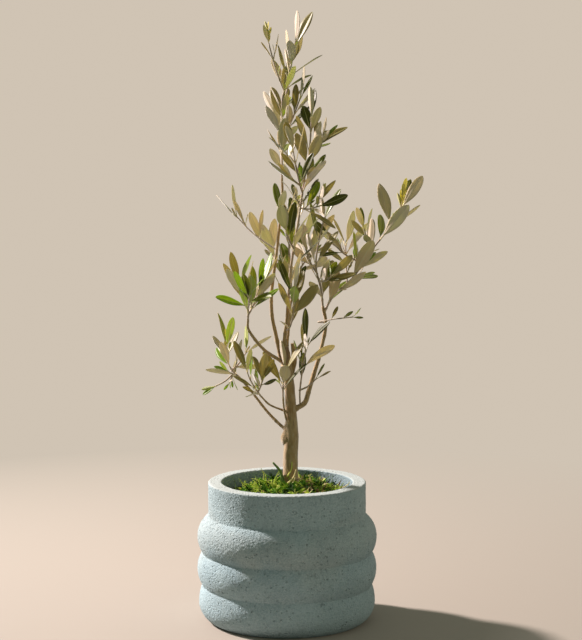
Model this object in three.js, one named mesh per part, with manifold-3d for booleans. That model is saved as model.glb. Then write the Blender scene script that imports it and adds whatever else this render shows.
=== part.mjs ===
// Olive bonsai growing in a round planter with three swelling bands.
// Millimetres, +Z up. The origin is the centre of the planter's flat underside.
// -Y is the front of the plant, +X its right-hand side.

import * as THREE from 'three';
import { mergeVertices } from 'three/addons/utils/BufferGeometryUtils.js';
import Module from 'manifold-3d';

const wasm = await Module();
wasm.setup();

// Planter
const CLEARANCE = 0.3;
const POT_SIDES = 36;
const POT_HEIGHT = 140;
const RIM_RADIUS = 79;
const MOUTH_RADIUS = 65.5;
const RIM_ROUNDING = 1.6;
const INSIDE_FLOOR = 12;
const INSIDE_FLOOR_RADIUS = 62;
const COLLAR_FOOT = 106;
const GROOVE = 85;
const BANDS = [
  { low: 0, lowRadius: 77, middle: 19, radius: 88.5, high: 36, highRadius: GROOVE },
  { low: 36, lowRadius: GROOVE, middle: 53, radius: 90, high: 69, highRadius: GROOVE },
  { low: 69, lowRadius: GROOVE, middle: 85, radius: 90, high: COLLAR_FOOT, highRadius: RIM_RADIUS },
];
const ARC_STEPS = 3;

// Soil and the cushion of moss
const SOIL_TOP = 126;
const MOSS_SIDES = 28;
const MOSS_PROFILE = [[11.4, 0], [56, 0], [55, 2.5], [45, 5], [33, 7.5], [21, 9.5], [11.4, 9.5]];
const MOSS_BUMP = 1.3;
const MOSS_WAVES = [{ count: 5, pitch: 5 }, { count: 9, pitch: 6 }, { count: 14, pitch: 7 }];
const MOSS_EDGE = 2.5;

// Trunk: points of the centre line, from the soil to the fork, each with its radius
const TRUNK_BASE = SOIL_TOP + CLEARANCE;
const TRUNK_LINE = [[3.5, 0, TRUNK_BASE], [3.5, 0, 165], [5, 0, 186], [4, 0, 207], [3, 0, 228], [0.5, 0, 250],
  [-2.5, 0, 275]];
const TRUNK_RADII = [7.6, 7.3, 6.6, 5.8, 5.2, 5.4, 4.3];
const TRUNK_SIDES = 12;
const FLARE = { share: 0.12, swell: 0.3, lobes: 5, lobeDepth: 0.35 };
const CUT_STUB = { line: [[3, 1, 243], [7, 2, 262], [6, 2, 279]], radii: [3.4, 2.4] };
const KNOT = { centre: [-2.4, -2, 184], radius: 2.8, sides: 8, bands: 6 };

// Boughs: the centre line of each starts inside what carries it
const BOUGH_SIDES = 6;
const BOUGHS = {
  left_leader: {
    line: [[-3, 0, 258], [-6, -1, 264], [-11, -2, 287], [-15, -4, 308], [-15, -4, 333], [-10, 0, 372],
      [-5, 4, 421], [-5, 5, 443]],
    radii: [2.4, 1.2],
  },
  centre_leader: { line: [[-3, -3, 276], [-2, -5, 288], [0, -9, 306], [1, -12, 319]], radii: [2, 1.6] },
  back_leader: { line: [[-1, 3, 276], [1, 7, 287], [2, 14, 303], [4, 24, 320]], radii: [1.7, 1.3] },
  right_bough: {
    line: [[4, 0, 209], [10, 0, 214], [18, 4, 219], [22, 8, 231], [28, 14, 250], [33, 20, 266],
      [39, 26, 294], [36, 29, 313]],
    radii: [3, 1.6],
  },
  left_middle_bough: {
    line: [[0, 0, 257], [-8, -4, 263], [-23, -18, 275], [-37, -32, 295], [-38, -36, 307]],
    radii: [2.1, 1.2],
  },
  left_low_bough: {
    line: [[4, 0, 190], [-3, 3, 193], [-19, 14, 207], [-37, 26, 228], [-49, 32, 241]],
    radii: [1.9, 1.1],
  },
  left_low_twin: { line: [[3, 0, 209], [-3, -4, 212], [-17, -12, 219], [-26, -20, 229]], radii: [1.2, 0.9] },
  front_twig: { line: [[4, 0, 198], [0, -7, 202], [-3, -9, 215], [-4, -12, 227]], radii: [1.3, 1] },
};

// Masses of leaves: a stem that starts on its bough, and the side twigs that leave it.
// pairs counts the pairs of leaves, leaf is their usual length, bare the leafless share of the stem.
const MASSES = {
  // on the tip of the left leader, up to the top of the plant
  leaves_crown_left: {
    line: [[-5, 5, 443], [-5, 8, 470], [-5, 10, 502], [-4, 10, 524], [2, 8, 544], [5, 6, 557],
      [8, 5, 571]],
    radii: [1.1, 0.6],
    bare: 0.06, pairs: 9, leaf: 35, seeds: [1903, 699, 6193],
    twigs: [
      { from: 0.66, to: [-18, 16, 575], pairs: 3, leaf: 22, seeds: [5632] },
      { from: 0.3, to: [13, -4, 521], pairs: 3, leaf: 30, seeds: [1112] },
      { from: 0.12, to: [-8, 38, 500], pairs: 4, leaf: 34, seeds: [6918] },
      { from: 0.5, to: [4, 34, 556], pairs: 4, leaf: 30, seeds: [521] },
    ],
  },
  // on the tip of the centre leader
  leaves_crown_centre: {
    line: [[1, -12, 319], [3, -15, 348], [6, -18, 371], [11, -20, 401], [14, -20, 422], [17, -18, 442],
      [22, -15, 471], [24, -12, 502]],
    radii: [1.5, 0.7],
    bare: 0.02, pairs: 13, leaf: 39, seeds: [6563, 4762, 4244, 4690],
    twigs: [
      { from: 0.82, to: [34, -12, 480], pairs: 3, leaf: 26, seeds: [1337] },
      { from: 0.52, to: [29, -32, 416], pairs: 3, leaf: 30, seeds: [26] },
      { from: 0.3, to: [-6, -40, 410], pairs: 4, leaf: 38, seeds: [3887] },
      { from: 0.6, to: [6, -36, 470], pairs: 4, leaf: 34, seeds: [6690] },
    ],
  },
  // on the right bough: the long shoot at the right
  leaves_right_long: {
    line: [[37, 28, 306], [43, 32, 318], [49, 36, 326], [66, 44, 340], [89, 52, 372], [105, 56, 392],
      [116, 60, 410]],
    radii: [1.3, 0.7],
    bare: 0.06, pairs: 8, leaf: 43, seeds: [437, 6496],
    twigs: [
      { from: 0.62, to: [78, 46, 390], pairs: 3, leaf: 28, seeds: [891] },
      { from: 0.5, to: [44, 36, 378], pairs: 3, leaf: 24, seeds: [224] },
      { from: 0.3, to: [60, 66, 372], pairs: 4, leaf: 36, seeds: [6838] },
    ],
  },
  // on the tip of the right bough
  leaves_right_inner: {
    line: [[36, 29, 313], [34, 26, 332], [29, 20, 353], [31, 16, 376], [36, 12, 399]],
    radii: [1.2, 0.7],
    bare: 0.12, pairs: 5, leaf: 38, seeds: [4013, 7975],
    twigs: [
      { from: 0.4, to: [18, 52, 372], pairs: 4, leaf: 36, seeds: [648] },
      { from: 0.3, to: [44, 4, 345], pairs: 3, leaf: 30, seeds: [679] },
    ],
  },
  // on the side of the left leader
  leaves_left_thin: {
    line: [[-10, 0, 372], [-26, 10, 382], [-37, 18, 390], [-45, 24, 398], [-51, 28, 404]],
    radii: [0.9, 0.6],
    bare: 0.45, pairs: 3, leaf: 31, seeds: [956],
    twigs: [],
  },
  // on the tip of the left middle bough
  leaves_left_cluster: {
    line: [[-38, -36, 307], [-38, -38, 318], [-43, -40, 331], [-45, -42, 341]],
    radii: [1.1, 0.7],
    bare: 0.1, pairs: 4, leaf: 42, seeds: [3053],
    twigs: [
      { from: 0.1, to: [-27, -34, 337], pairs: 4, leaf: 38, seeds: [3852] },
      { from: 0.3, to: [-36, -58, 330], pairs: 3, leaf: 36, seeds: [2899] },
    ],
  },
  // on the tip of the left low bough
  leaves_left_low: {
    line: [[-49, 32, 241], [-56, 36, 247], [-62, 40, 259], [-62, 42, 269]],
    radii: [1, 0.6],
    bare: 0.05, pairs: 4, leaf: 34, seeds: [4761],
    twigs: [
      { from: 0.2, to: [-72, 30, 232], pairs: 2, leaf: 22, seeds: [4692] },
      { from: 0.3, to: [-42, 48, 264], pairs: 3, leaf: 28, seeds: [5882] },
    ],
  },
  // on the tip of the left low twin
  leaves_left_twin: {
    line: [[-26, -20, 229], [-30, -24, 235], [-36, -28, 246], [-39, -30, 254]],
    radii: [0.9, 0.6],
    bare: 0.05, pairs: 4, leaf: 28, seeds: [7083],
    twigs: [
      { from: 0.2, to: [-24, -34, 246], pairs: 3, leaf: 26, seeds: [2954] },
    ],
  },
  // on the tip of the front twig
  leaves_front: {
    line: [[-4, -12, 227], [-4, -14, 240], [-2, -17, 252]],
    radii: [0.9, 0.6],
    bare: 0.2, pairs: 3, leaf: 38, seeds: [3368],
    twigs: [],
  },
  // on the side of the centre leader
  leaves_centre_front: {
    line: [[-1, -6, 292], [3, -14, 297], [6, -20, 310], [6, -26, 328]],
    radii: [0.9, 0.6],
    bare: 0.2, pairs: 4, leaf: 36, seeds: [6016],
    twigs: [],
  },
  // on the foot of the right bough
  leaves_inner_right: {
    line: [[13, 2, 217], [13, -4, 234], [17, -12, 264], [20, -18, 279]],
    radii: [0.9, 0.6],
    bare: 0.45, pairs: 4, leaf: 36, seeds: [7142],
    twigs: [
      { from: 0.25, to: [29, -12, 245], pairs: 2, leaf: 20, seeds: [3509] },
    ],
  },
  // on the side of the right bough
  leaves_right_low: {
    line: [[38, 27, 297], [31, 22, 298], [46, 10, 302], [65, 2, 305]],
    radii: [0.7, 0.5],
    bare: 0.5, pairs: 3, leaf: 14, seeds: [5640],
    twigs: [],
  },
  // on the tip of the back leader
  leaves_back: {
    line: [[4, 24, 320], [4, 34, 345], [2, 44, 372], [6, 50, 395]],
    radii: [1.1, 0.6],
    bare: 0.1, pairs: 6, leaf: 38, seeds: [7311, 5188],
    twigs: [
      { from: 0.3, to: [26, 60, 370], pairs: 4, leaf: 34, seeds: [2] },
      { from: 0.4, to: [-22, 58, 372], pairs: 4, leaf: 34, seeds: [4898] },
    ],
  },
};

// Twigs
const LINE_STEPS = 3;
const TWIG_SIDES = 3;
const TWIG_SAG = 0.08;
const TWIG_BARE = 0.25;
const TWIG_RADII = [1.1, 0.8];
const SPUR_RADII = [0.8, 0.7];

// Leaves stand in opposite pairs, each pair a quarter turn on from the last
const PAIRS_PER_SEED = 4;
const QUARTER_TURN = 90;
const FIRST_SHARE = 0.02;
const PAIR_PLAY = 0.5;
const TURN_PLAY = 52;
const SPLAY = 42;
const SPLAY_PLAY = 32;
const SIZE_PLAY = 0.44;
const WIDTH = 0.27;
const WIDTH_PLAY = 0.1;
const BEND_MIDDLE = 0.55;
const BEND_PLAY = 0.3;
const TWIST_PLAY = 90;
const RISE = 0.25;
const FALLEN_SHARE = 0.08;
const SPUR_SHARE = 0.12;
const SPUR = { leastLeaf: 20, splay: 0.8, reach: 0.25, leafSplay: 24, leafSize: 0.5 };
const TIP_SPLAY = 0.6;
const PETIOLE = 0.1;
const PETIOLE_WIDTH = 0.14;
const BLADE_SKEW = 1.15;
const BLADE_FULLNESS = 0.75;
const BLADE_MIDDLE = 0.55;
const BLADE_STATIONS = [0.28, 0.68];
const BLADE_THICKNESS = 0.8;
const ROOT_DEPTH = 0.4;

// A leaf that would touch something is turned about its twig, or else left out
const TURNS = [0, 24, -24, 48, -48, 72, -72];
const LEAF_GAP = 0.9;
const BOUGH_GAP = 0.8;
const TWIG_GAP = 1.6;
const NEAR = 0.62;
const FREE_ROOT = { leaf: 0.16, ownTwig: 0.34, bough: 0.3, twig: 0.12 };
const RIB_STATIONS = [0.2, 0.36, 0.52, 0.68, 0.84, 1];

// Colours and finishes
const CONCRETE = { color: 0x8fa9b3, roughness: 0.92, metalness: 0 };
const EARTH = { color: 0x3a2b20, roughness: 1, metalness: 0 };
const MOSS = { color: 0x6f8f2a, roughness: 1, metalness: 0 };
const BARK = { color: 0x9a8568, roughness: 0.9, metalness: 0 };
const FOLIAGE = { color: 0x6f8350, roughness: 0.6, metalness: 0 };

// Solids and geometries

function solidOf(geometry) {
  geometry.deleteAttribute('normal');
  geometry.deleteAttribute('uv');
  const merged = mergeVertices(geometry);
  return new wasm.Manifold(new wasm.Mesh({
    numProp: 3,
    vertProperties: merged.attributes.position.array,
    triVerts: new Uint32Array(merged.index.array),
  }));
}

function geometryOf(solid) {
  const { vertProperties, triVerts } = solid.getMesh();
  const geometry = new THREE.BufferGeometry();
  geometry.setAttribute('position', new THREE.BufferAttribute(vertProperties, 3));
  geometry.setIndex(new THREE.BufferAttribute(triVerts, 1));
  return geometry;
}

// The largest of a solid's separate pieces
function mainPiece(solid) {
  const pieces = solid.decompose();
  return pieces.reduce((main, piece) => (piece.volume() > main.volume() ? piece : main));
}

// A closed skin over rings of points, each ring counter-clockwise seen from the next one.
// An end is closed flat, or drawn in to a point.
function loft(rings, foot, tip) {
  const sides = rings[0].length;
  const last = (rings.length - 1) * sides;
  const footIndex = last + sides;
  const tipIndex = footIndex + (foot ? 1 : 0);
  const faces = [];
  for (let side = 0; side < sides; side += 1) {
    const next = (side + 1) % sides;
    for (let low = 0; low < last; low += sides) {
      const high = low + sides;
      faces.push(low + side, low + next, high + next, low + side, high + next, high + side);
    }
    if (foot) faces.push(footIndex, next, side);
    if (tip) faces.push(last + side, last + next, tipIndex);
  }
  for (let side = 1; side < sides - 1; side += 1) {
    if (!foot) faces.push(0, side + 1, side);
    if (!tip) faces.push(last, last + side, last + side + 1);
  }
  const points = rings.flat();
  if (foot) points.push(foot);
  if (tip) points.push(tip);
  return new THREE.BufferGeometry().setFromPoints(points).setIndex(faces);
}

// Lines in space

const BACK = new THREE.Vector3(0, 1, 0);

function smooth(points) {
  const knots = points.map((point) => new THREE.Vector3(...point));
  return new THREE.CatmullRomCurve3(knots, false, 'catmullrom').getPoints(LINE_STEPS * (points.length - 1));
}

// The point and the heading at a share of a line's length
function along(line, share) {
  const spans = line.slice(1).map((point, i) => point.distanceTo(line[i]));
  let left = share * spans.reduce((sum, span) => sum + span, 0);
  let i = 0;
  while (i < spans.length - 1 && left > spans[i]) {
    left -= spans[i];
    i += 1;
  }
  const run = line[i + 1].clone().sub(line[i]);
  const point = line[i].clone().addScaledVector(run, left / spans[i]);
  return { point, heading: run.normalize() };
}

// The direction square to a heading, at an angle counted from the right-hand side towards the back
function sideOf(heading, degrees) {
  const angle = THREE.MathUtils.degToRad(degrees);
  const back = BACK.clone().addScaledVector(heading, -BACK.dot(heading)).normalize();
  const right = back.clone().cross(heading);
  return right.multiplyScalar(Math.cos(angle)).addScaledVector(back, Math.sin(angle));
}

function headingAt(line, i) {
  const before = line[Math.max(i - 1, 0)];
  const after = line[Math.min(i + 1, line.length - 1)];
  return after.clone().sub(before).normalize();
}

// A tapering limb. radiusAt gives the radius at a share of the limb and an angle round it.
function tube(line, radiusAt, sides) {
  const last = line.length - 1;
  const rings = line.map((point, i) => {
    const heading = headingAt(line, i);
    return Array.from({ length: sides }, (_, side) => {
      const degrees = 360 * side / sides;
      return point.clone().addScaledVector(sideOf(heading, degrees), radiusAt(i / last, degrees));
    });
  });
  return solidOf(loft(rings));
}

function taper([foot, tip]) {
  return (share) => foot + (tip - foot) * share;
}

// The space round a limb that its neighbours keep out of
function spaceRound(line, radiusAt, sides) {
  const longer = line.map((point) => point.clone());
  const last = line.length - 1;
  longer[0].addScaledVector(headingAt(line, 0), -CLEARANCE);
  longer[last].addScaledVector(headingAt(line, last), CLEARANCE);
  return tube(longer, (share, degrees) => radiusAt(share, degrees) + CLEARANCE, sides);
}

// Planter, soil and moss

// Half a band: an arc that is upright at the band's widest point
function bandArc(middle, radius, edge, edgeRadius) {
  const depth = radius - edgeRadius;
  const reach = edge - middle;
  const arcRadius = (reach * reach + depth * depth) / (2 * depth);
  const sweep = Math.asin(reach / arcRadius);
  return (share) => {
    const angle = sweep * share;
    return [radius - arcRadius * (1 - Math.cos(angle)), middle + arcRadius * Math.sin(angle)];
  };
}

function bandProfile(band) {
  const lower = bandArc(band.middle, band.radius, band.low, band.lowRadius);
  const upper = bandArc(band.middle, band.radius, band.high, band.highRadius);
  const points = [];
  for (let step = ARC_STEPS; step > 0; step -= 1) points.push(lower(step / ARC_STEPS));
  for (let step = 0; step < ARC_STEPS; step += 1) points.push(upper(step / ARC_STEPS));
  return points;
}

function revolve(points, sides) {
  const profile = points.map(([radius, height]) => new THREE.Vector2(radius, height));
  return new THREE.LatheGeometry(profile, sides).rotateX(Math.PI / 2);
}

function potGeometry() {
  const bevel = RIM_ROUNDING * (1 - Math.SQRT1_2);
  return revolve([
    [0, 0],
    ...BANDS.flatMap(bandProfile),
    [RIM_RADIUS, COLLAR_FOOT],
    [RIM_RADIUS, POT_HEIGHT - RIM_ROUNDING],
    [RIM_RADIUS - bevel, POT_HEIGHT - bevel],
    [RIM_RADIUS - RIM_ROUNDING, POT_HEIGHT],
    [MOUTH_RADIUS + RIM_ROUNDING, POT_HEIGHT],
    [MOUTH_RADIUS + bevel, POT_HEIGHT - bevel],
    [MOUTH_RADIUS, POT_HEIGHT - RIM_ROUNDING],
    [INSIDE_FLOOR_RADIUS, INSIDE_FLOOR],
    [0, INSIDE_FLOOR],
  ], POT_SIDES);
}

function soilGeometry() {
  const wallSlope = (MOUTH_RADIUS - INSIDE_FLOOR_RADIUS) / (POT_HEIGHT - RIM_ROUNDING - INSIDE_FLOOR);
  const topRadius = INSIDE_FLOOR_RADIUS + wallSlope * (SOIL_TOP - INSIDE_FLOOR) - CLEARANCE;
  return revolve([
    [0, INSIDE_FLOOR + CLEARANCE],
    [INSIDE_FLOOR_RADIUS - CLEARANCE, INSIDE_FLOOR + CLEARANCE],
    [topRadius, SOIL_TOP],
    [0, SOIL_TOP],
  ], POT_SIDES);
}

// A low ring round the foot of the trunk, its top heaved into tufts
function mossGeometry() {
  const geometry = revolve([...MOSS_PROFILE, MOSS_PROFILE[0]], MOSS_SIDES);
  const position = geometry.getAttribute('position');
  for (let i = 0; i < position.count; i += 1) {
    const angle = Math.atan2(position.getY(i), position.getX(i));
    const reach = Math.hypot(position.getX(i), position.getY(i));
    const waves = MOSS_WAVES.map(({ count, pitch }) => Math.sin(count * angle + reach / pitch));
    const lift = waves.reduce((sum, wave) => sum + wave, 0) * MOSS_BUMP / MOSS_WAVES.length;
    const height = position.getZ(i);
    position.setZ(i, height + lift * Math.min(1, height / MOSS_EDGE));
  }
  return geometry.translate(...TRUNK_LINE[0]);
}

// Trunk and boughs

function trunkRadius(share, degrees) {
  const row = Math.min(Math.floor(share * (TRUNK_RADII.length - 1)), TRUNK_RADII.length - 2);
  const part = share * (TRUNK_RADII.length - 1) - row;
  const radius = THREE.MathUtils.lerp(TRUNK_RADII[row], TRUNK_RADII[row + 1], part);
  const fade = Math.max(0, 1 - share / FLARE.share) ** 2;
  const lobe = 1 + FLARE.lobeDepth * Math.cos(THREE.MathUtils.degToRad(FLARE.lobes * degrees));
  return radius * (1 + FLARE.swell * fade * lobe);
}

function trunkSolid() {
  const stub = tube(smooth(CUT_STUB.line), taper(CUT_STUB.radii), BOUGH_SIDES);
  const knot = new THREE.SphereGeometry(KNOT.radius, KNOT.sides, KNOT.bands).translate(...KNOT.centre);
  return tube(smooth(TRUNK_LINE), trunkRadius, TRUNK_SIDES).add(stub).add(solidOf(knot));
}

// Leaves

// Even numbers between 0 and 1, the same each time for one seed
function dice(seed) {
  let state = seed * 7919 + 12345;
  const roll = () => {
    state = (state * 48271) % 2147483647;
    return state / 2147483647;
  };
  roll();
  roll();
  roll();
  return roll;
}

// The heading of what leaves a twig at a turn round it and a splay away from it, rising a little
function leafHeading(heading, turn, splay) {
  const angle = THREE.MathUtils.degToRad(splay);
  const dir = heading.clone().multiplyScalar(Math.cos(angle));
  dir.addScaledVector(sideOf(heading, turn), Math.sin(angle));
  dir.z += RISE;
  return dir.normalize();
}

// dir runs along the leaf, up is the side that faces its twig, across is square to both
function makeLeaf({ root, heading, turn, splay, length, width, bend, twist }) {
  const angle = THREE.MathUtils.degToRad(splay);
  const roll = THREE.MathUtils.degToRad(twist);
  const dir = leafHeading(heading, turn, splay);
  const inner = heading.clone().multiplyScalar(Math.sin(angle));
  inner.addScaledVector(sideOf(heading, turn), -Math.cos(angle));
  inner.addScaledVector(dir, -inner.dot(dir)).normalize();
  const square = dir.clone().cross(inner);
  const leaf = { root, dir, length, width, bend };
  leaf.across = square.clone().multiplyScalar(Math.cos(roll)).addScaledVector(inner, Math.sin(roll));
  leaf.up = inner.clone().multiplyScalar(Math.cos(roll)).addScaledVector(square, -Math.sin(roll));
  leaf.middle = onLeaf(leaf, BLADE_MIDDLE, 0);
  leaf.ribs = [-1, 0, 1].map((edge) => RIB_STATIONS.map((share) => onLeaf(leaf, share, edge)));
  return leaf;
}

// The half width at a share of the leaf's length, as a share of the widest
function outline(share) {
  if (share <= PETIOLE) return PETIOLE_WIDTH;
  const blade = ((share - PETIOLE) / (1 - PETIOLE)) ** BLADE_SKEW;
  return Math.max(PETIOLE_WIDTH, Math.max(0, Math.sin(Math.PI * blade)) ** BLADE_FULLNESS);
}

function onLeaf(leaf, share, edge) {
  return leaf.root.clone()
    .addScaledVector(leaf.dir, leaf.length * share)
    .addScaledVector(leaf.up, leaf.bend * leaf.length * share * share)
    .addScaledVector(leaf.across, edge * leaf.width / 2 * outline(share));
}

// A blade flat on top, with a keel along its underside, rooted past the middle of its twig
function leafSolid(leaf) {
  const root = leaf.root.clone().addScaledVector(leaf.dir, -ROOT_DEPTH);
  const rings = BLADE_STATIONS.map((share) => {
    const keel = onLeaf(leaf, share, 0).addScaledVector(leaf.up, -BLADE_THICKNESS);
    return [onLeaf(leaf, share, 1), keel, onLeaf(leaf, share, -1)];
  });
  return solidOf(loft(rings, root, onLeaf(leaf, 1, 0)));
}

function overLeaf(leaf, share, off, gap, free) {
  const half = leaf.width / 2 * outline(Math.min(share, 1));
  return share > free && share < 1 + gap / leaf.length && Math.abs(off) < half + gap;
}

// Whether a line of points passes through a leaf or comes within the gap of it
function pierces(line, leaf, gap, free) {
  let last = null;
  for (const point of line) {
    const from = point.clone().sub(leaf.root);
    const share = from.dot(leaf.dir) / leaf.length;
    const height = from.dot(leaf.up) - leaf.bend * leaf.length * share * share;
    const off = from.dot(leaf.across);
    if (Math.abs(height) < gap && overLeaf(leaf, share, off, gap, free)) return true;
    if (last && last.height * height < 0) {
      const part = last.height / (last.height - height);
      const crossing = last.share + (share - last.share) * part;
      if (overLeaf(leaf, crossing, last.off + (off - last.off) * part, gap, free)) return true;
    }
    last = { share, height, off };
  }
  return false;
}

function leavesTouch(a, b) {
  if (a.middle.distanceTo(b.middle) > (a.length + b.length) * NEAR) return false;
  return a.ribs.some((rib) => pierces(rib, b, LEAF_GAP, FREE_ROOT.leaf))
    || b.ribs.some((rib) => pierces(rib, a, LEAF_GAP, FREE_ROOT.leaf));
}

function touchesWood(leaf, wood, mass) {
  return wood.some(({ line, radius, owner }) => {
    if (!owner) return pierces(line, leaf, radius + BOUGH_GAP, FREE_ROOT.bough);
    return pierces(line, leaf, TWIG_GAP, owner === mass ? FREE_ROOT.ownTwig : FREE_ROOT.twig);
  });
}

// The seeded rule: pairs of leaves along a shoot, and now and then a spur with a small pair of its own
function leafUp(shoot, line, isClear) {
  const leaves = [];
  const spurs = [];
  const place = (values) => {
    for (const turned of TURNS) {
      const leaf = makeLeaf({ ...values, turn: values.turn + turned });
      if (isClear(leaf, leaves)) {
        leaves.push(leaf);
        return;
      }
    }
  };
  const bare = shoot.bare ?? TWIG_BARE;
  const step = (1 - bare) / Math.max(shoot.pairs - 1, 1);
  let roll = null;
  let start = 0;
  for (let pair = 0; pair < shoot.pairs; pair += 1) {
    if (pair % PAIRS_PER_SEED === 0) {
      roll = dice(shoot.seeds[pair / PAIRS_PER_SEED]);
      start = roll() * QUARTER_TURN;
    }
    const atTip = pair === shoot.pairs - 1;
    const share = atTip ? 1 : bare + step * (pair + (roll() - 0.5) * PAIR_PLAY);
    const { point, heading } = along(line, Math.min(Math.max(share, FIRST_SHARE), 1));
    for (const half of [0, 180]) {
      const turn = start + QUARTER_TURN * pair + half + (roll() - 0.5) * TURN_PLAY;
      const splay = (SPLAY + (roll() - 0.5) * SPLAY_PLAY) * (atTip ? TIP_SPLAY : 1);
      const length = shoot.leaf * (1 + (roll() - 0.5) * SIZE_PLAY);
      const slender = WIDTH + (roll() - 0.5) * WIDTH_PLAY;
      const bend = (roll() - BEND_MIDDLE) * BEND_PLAY;
      const twist = (roll() - 0.5) * TWIST_PLAY;
      const fallen = roll() < FALLEN_SHARE;
      const hasSpur = roll() < SPUR_SHARE;
      if (fallen && !atTip) continue;
      place({ root: point, heading, turn, splay, length, width: length * slender, bend, twist });
      if (!hasSpur || atTip || shoot.leaf <= SPUR.leastLeaf) continue;
      const spurHeading = leafHeading(heading, turn, splay * SPUR.splay);
      const spurTip = point.clone().addScaledVector(spurHeading, length * SPUR.reach);
      spurs.push([point, spurTip]);
      const small = length * SPUR.leafSize;
      for (const end of [90, 270]) {
        place({
          root: spurTip, heading: spurHeading, turn: start + end, splay: SPUR.leafSplay,
          length: small, width: small * slender, bend, twist,
        });
      }
    }
  }
  return { leaves, spurs };
}

// A side twig rises from its place on the stem, sagging a little on the way to its tip
function twigLine(stem, twig) {
  const foot = along(stem, twig.from).point;
  const tip = new THREE.Vector3(...twig.to);
  const middle = foot.clone().lerp(tip, 0.5);
  middle.z -= TWIG_SAG * foot.distanceTo(tip);
  return smooth([foot, middle, tip].map((point) => point.toArray()));
}

function growMasses(wood) {
  const masses = Object.entries(MASSES).map(([name, mass]) => {
    const stem = smooth(mass.line);
    const twigs = mass.twigs.map((twig) => ({ shoot: twig, line: twigLine(stem, twig), radii: TWIG_RADII }));
    return { name, shoots: [{ shoot: mass, line: stem, radii: mass.radii }, ...twigs] };
  });
  for (const { name, shoots } of masses) {
    for (const { line } of shoots) wood.push({ line, owner: name });
  }
  const placed = [];
  for (const mass of masses) {
    mass.leaves = [];
    mass.spurs = [];
    for (const { shoot, line } of mass.shoots) {
      const isClear = (leaf, mine) => !placed.some((other) => leavesTouch(leaf, other))
        && !mine.some((other) => leavesTouch(leaf, other))
        && !touchesWood(leaf, wood, mass.name);
      const { leaves, spurs } = leafUp(shoot, line, isClear);
      placed.push(...leaves);
      mass.leaves.push(...leaves);
      mass.spurs.push(...spurs);
    }
  }
  return masses;
}

function massSolid(mass) {
  const twigs = mass.shoots.map(({ line, radii }) => tube(line, taper(radii), TWIG_SIDES));
  const spurs = mass.spurs.map((line) => tube(line, taper(SPUR_RADII), TWIG_SIDES));
  return [...twigs, ...spurs, ...mass.leaves.map(leafSolid)].reduce((whole, piece) => whole.add(piece));
}

// The whole plant

const plant = new THREE.Group();

function addMesh(group, name, geometry, finish) {
  const mesh = new THREE.Mesh(geometry, new THREE.MeshStandardMaterial(finish));
  mesh.name = name;
  group.add(mesh);
}

const planter = new THREE.Group();
addMesh(planter, 'pot', potGeometry(), CONCRETE);
addMesh(planter, 'soil', soilGeometry(), EARTH);
addMesh(planter, 'moss', mossGeometry(), MOSS);
plant.add(planter);

const tree = new THREE.Group();
addMesh(tree, 'trunk', geometryOf(trunkSolid()), BARK);
const keepOut = [spaceRound(smooth(TRUNK_LINE), trunkRadius, TRUNK_SIDES)];
keepOut.push(spaceRound(smooth(CUT_STUB.line), taper(CUT_STUB.radii), BOUGH_SIDES));
const wood = [{ line: smooth(TRUNK_LINE), radius: TRUNK_RADII[0] }];
for (const [name, bough] of Object.entries(BOUGHS)) {
  const line = smooth(bough.line);
  const whole = tube(line, taper(bough.radii), BOUGH_SIDES);
  const cut = keepOut.reduce((solid, space) => solid.subtract(space), whole);
  addMesh(tree, name, geometryOf(mainPiece(cut)), BARK);
  keepOut.push(spaceRound(line, taper(bough.radii), BOUGH_SIDES));
  wood.push({ line, radius: bough.radii[0] });
}
for (const mass of growMasses(wood)) {
  const cut = keepOut.reduce((solid, space) => solid.subtract(space), massSolid(mass));
  addMesh(tree, mass.name, geometryOf(mainPiece(cut)), FOLIAGE);
}
plant.add(tree);

export default plant;
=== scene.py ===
"""The looks of an olive bonsai in a round concrete planter: bark, twigs, leaves, moss, soil and concrete.

Sizes are millimetres in the plant's own frame until a mesh is made: the origin is the centre of the planter's
underside, +Z is up, -Y is the front and +X the right-hand side.
"""
import random
from math import asin, ceil, cos, hypot, pi, radians, sin, sqrt

import bmesh
import bpy
import numpy as np
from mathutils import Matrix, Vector, noise


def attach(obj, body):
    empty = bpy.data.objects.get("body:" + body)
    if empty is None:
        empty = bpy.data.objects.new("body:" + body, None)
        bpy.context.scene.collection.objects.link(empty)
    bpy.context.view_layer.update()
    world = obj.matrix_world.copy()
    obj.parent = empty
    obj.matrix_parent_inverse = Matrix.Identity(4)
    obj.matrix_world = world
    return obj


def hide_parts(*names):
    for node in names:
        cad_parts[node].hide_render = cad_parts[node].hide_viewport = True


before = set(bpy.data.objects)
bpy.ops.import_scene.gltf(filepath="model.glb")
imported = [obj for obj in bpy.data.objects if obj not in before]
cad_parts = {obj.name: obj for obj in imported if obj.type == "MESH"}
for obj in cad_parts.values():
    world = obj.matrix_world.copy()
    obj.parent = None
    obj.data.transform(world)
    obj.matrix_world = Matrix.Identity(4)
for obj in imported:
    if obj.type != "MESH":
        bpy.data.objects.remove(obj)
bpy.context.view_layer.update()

MM = 0.001

# Planter
CLEARANCE = 0.3
POT_HEIGHT = 140
RIM_RADIUS = 79
MOUTH_RADIUS = 65.5
RIM_ROUNDING = 1.6
INSIDE_FLOOR = 12
INSIDE_FLOOR_RADIUS = 62
WALL_SLOPE = (MOUTH_RADIUS - INSIDE_FLOOR_RADIUS) / (POT_HEIGHT - RIM_ROUNDING - INSIDE_FLOOR)
COLLAR_FOOT = 106
GROOVE = 85
# the lower edge, widest place and upper edge of each band, as a radius and a height
BANDS = [
    ((77, 0), (88.5, 19), (GROOVE, 36)),
    ((GROOVE, 36), (90, 53), (GROOVE, 69)),
    ((GROOVE, 69), (90, 85), (RIM_RADIUS, COLLAR_FOOT)),
]
SOIL_TOP = 126
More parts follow.
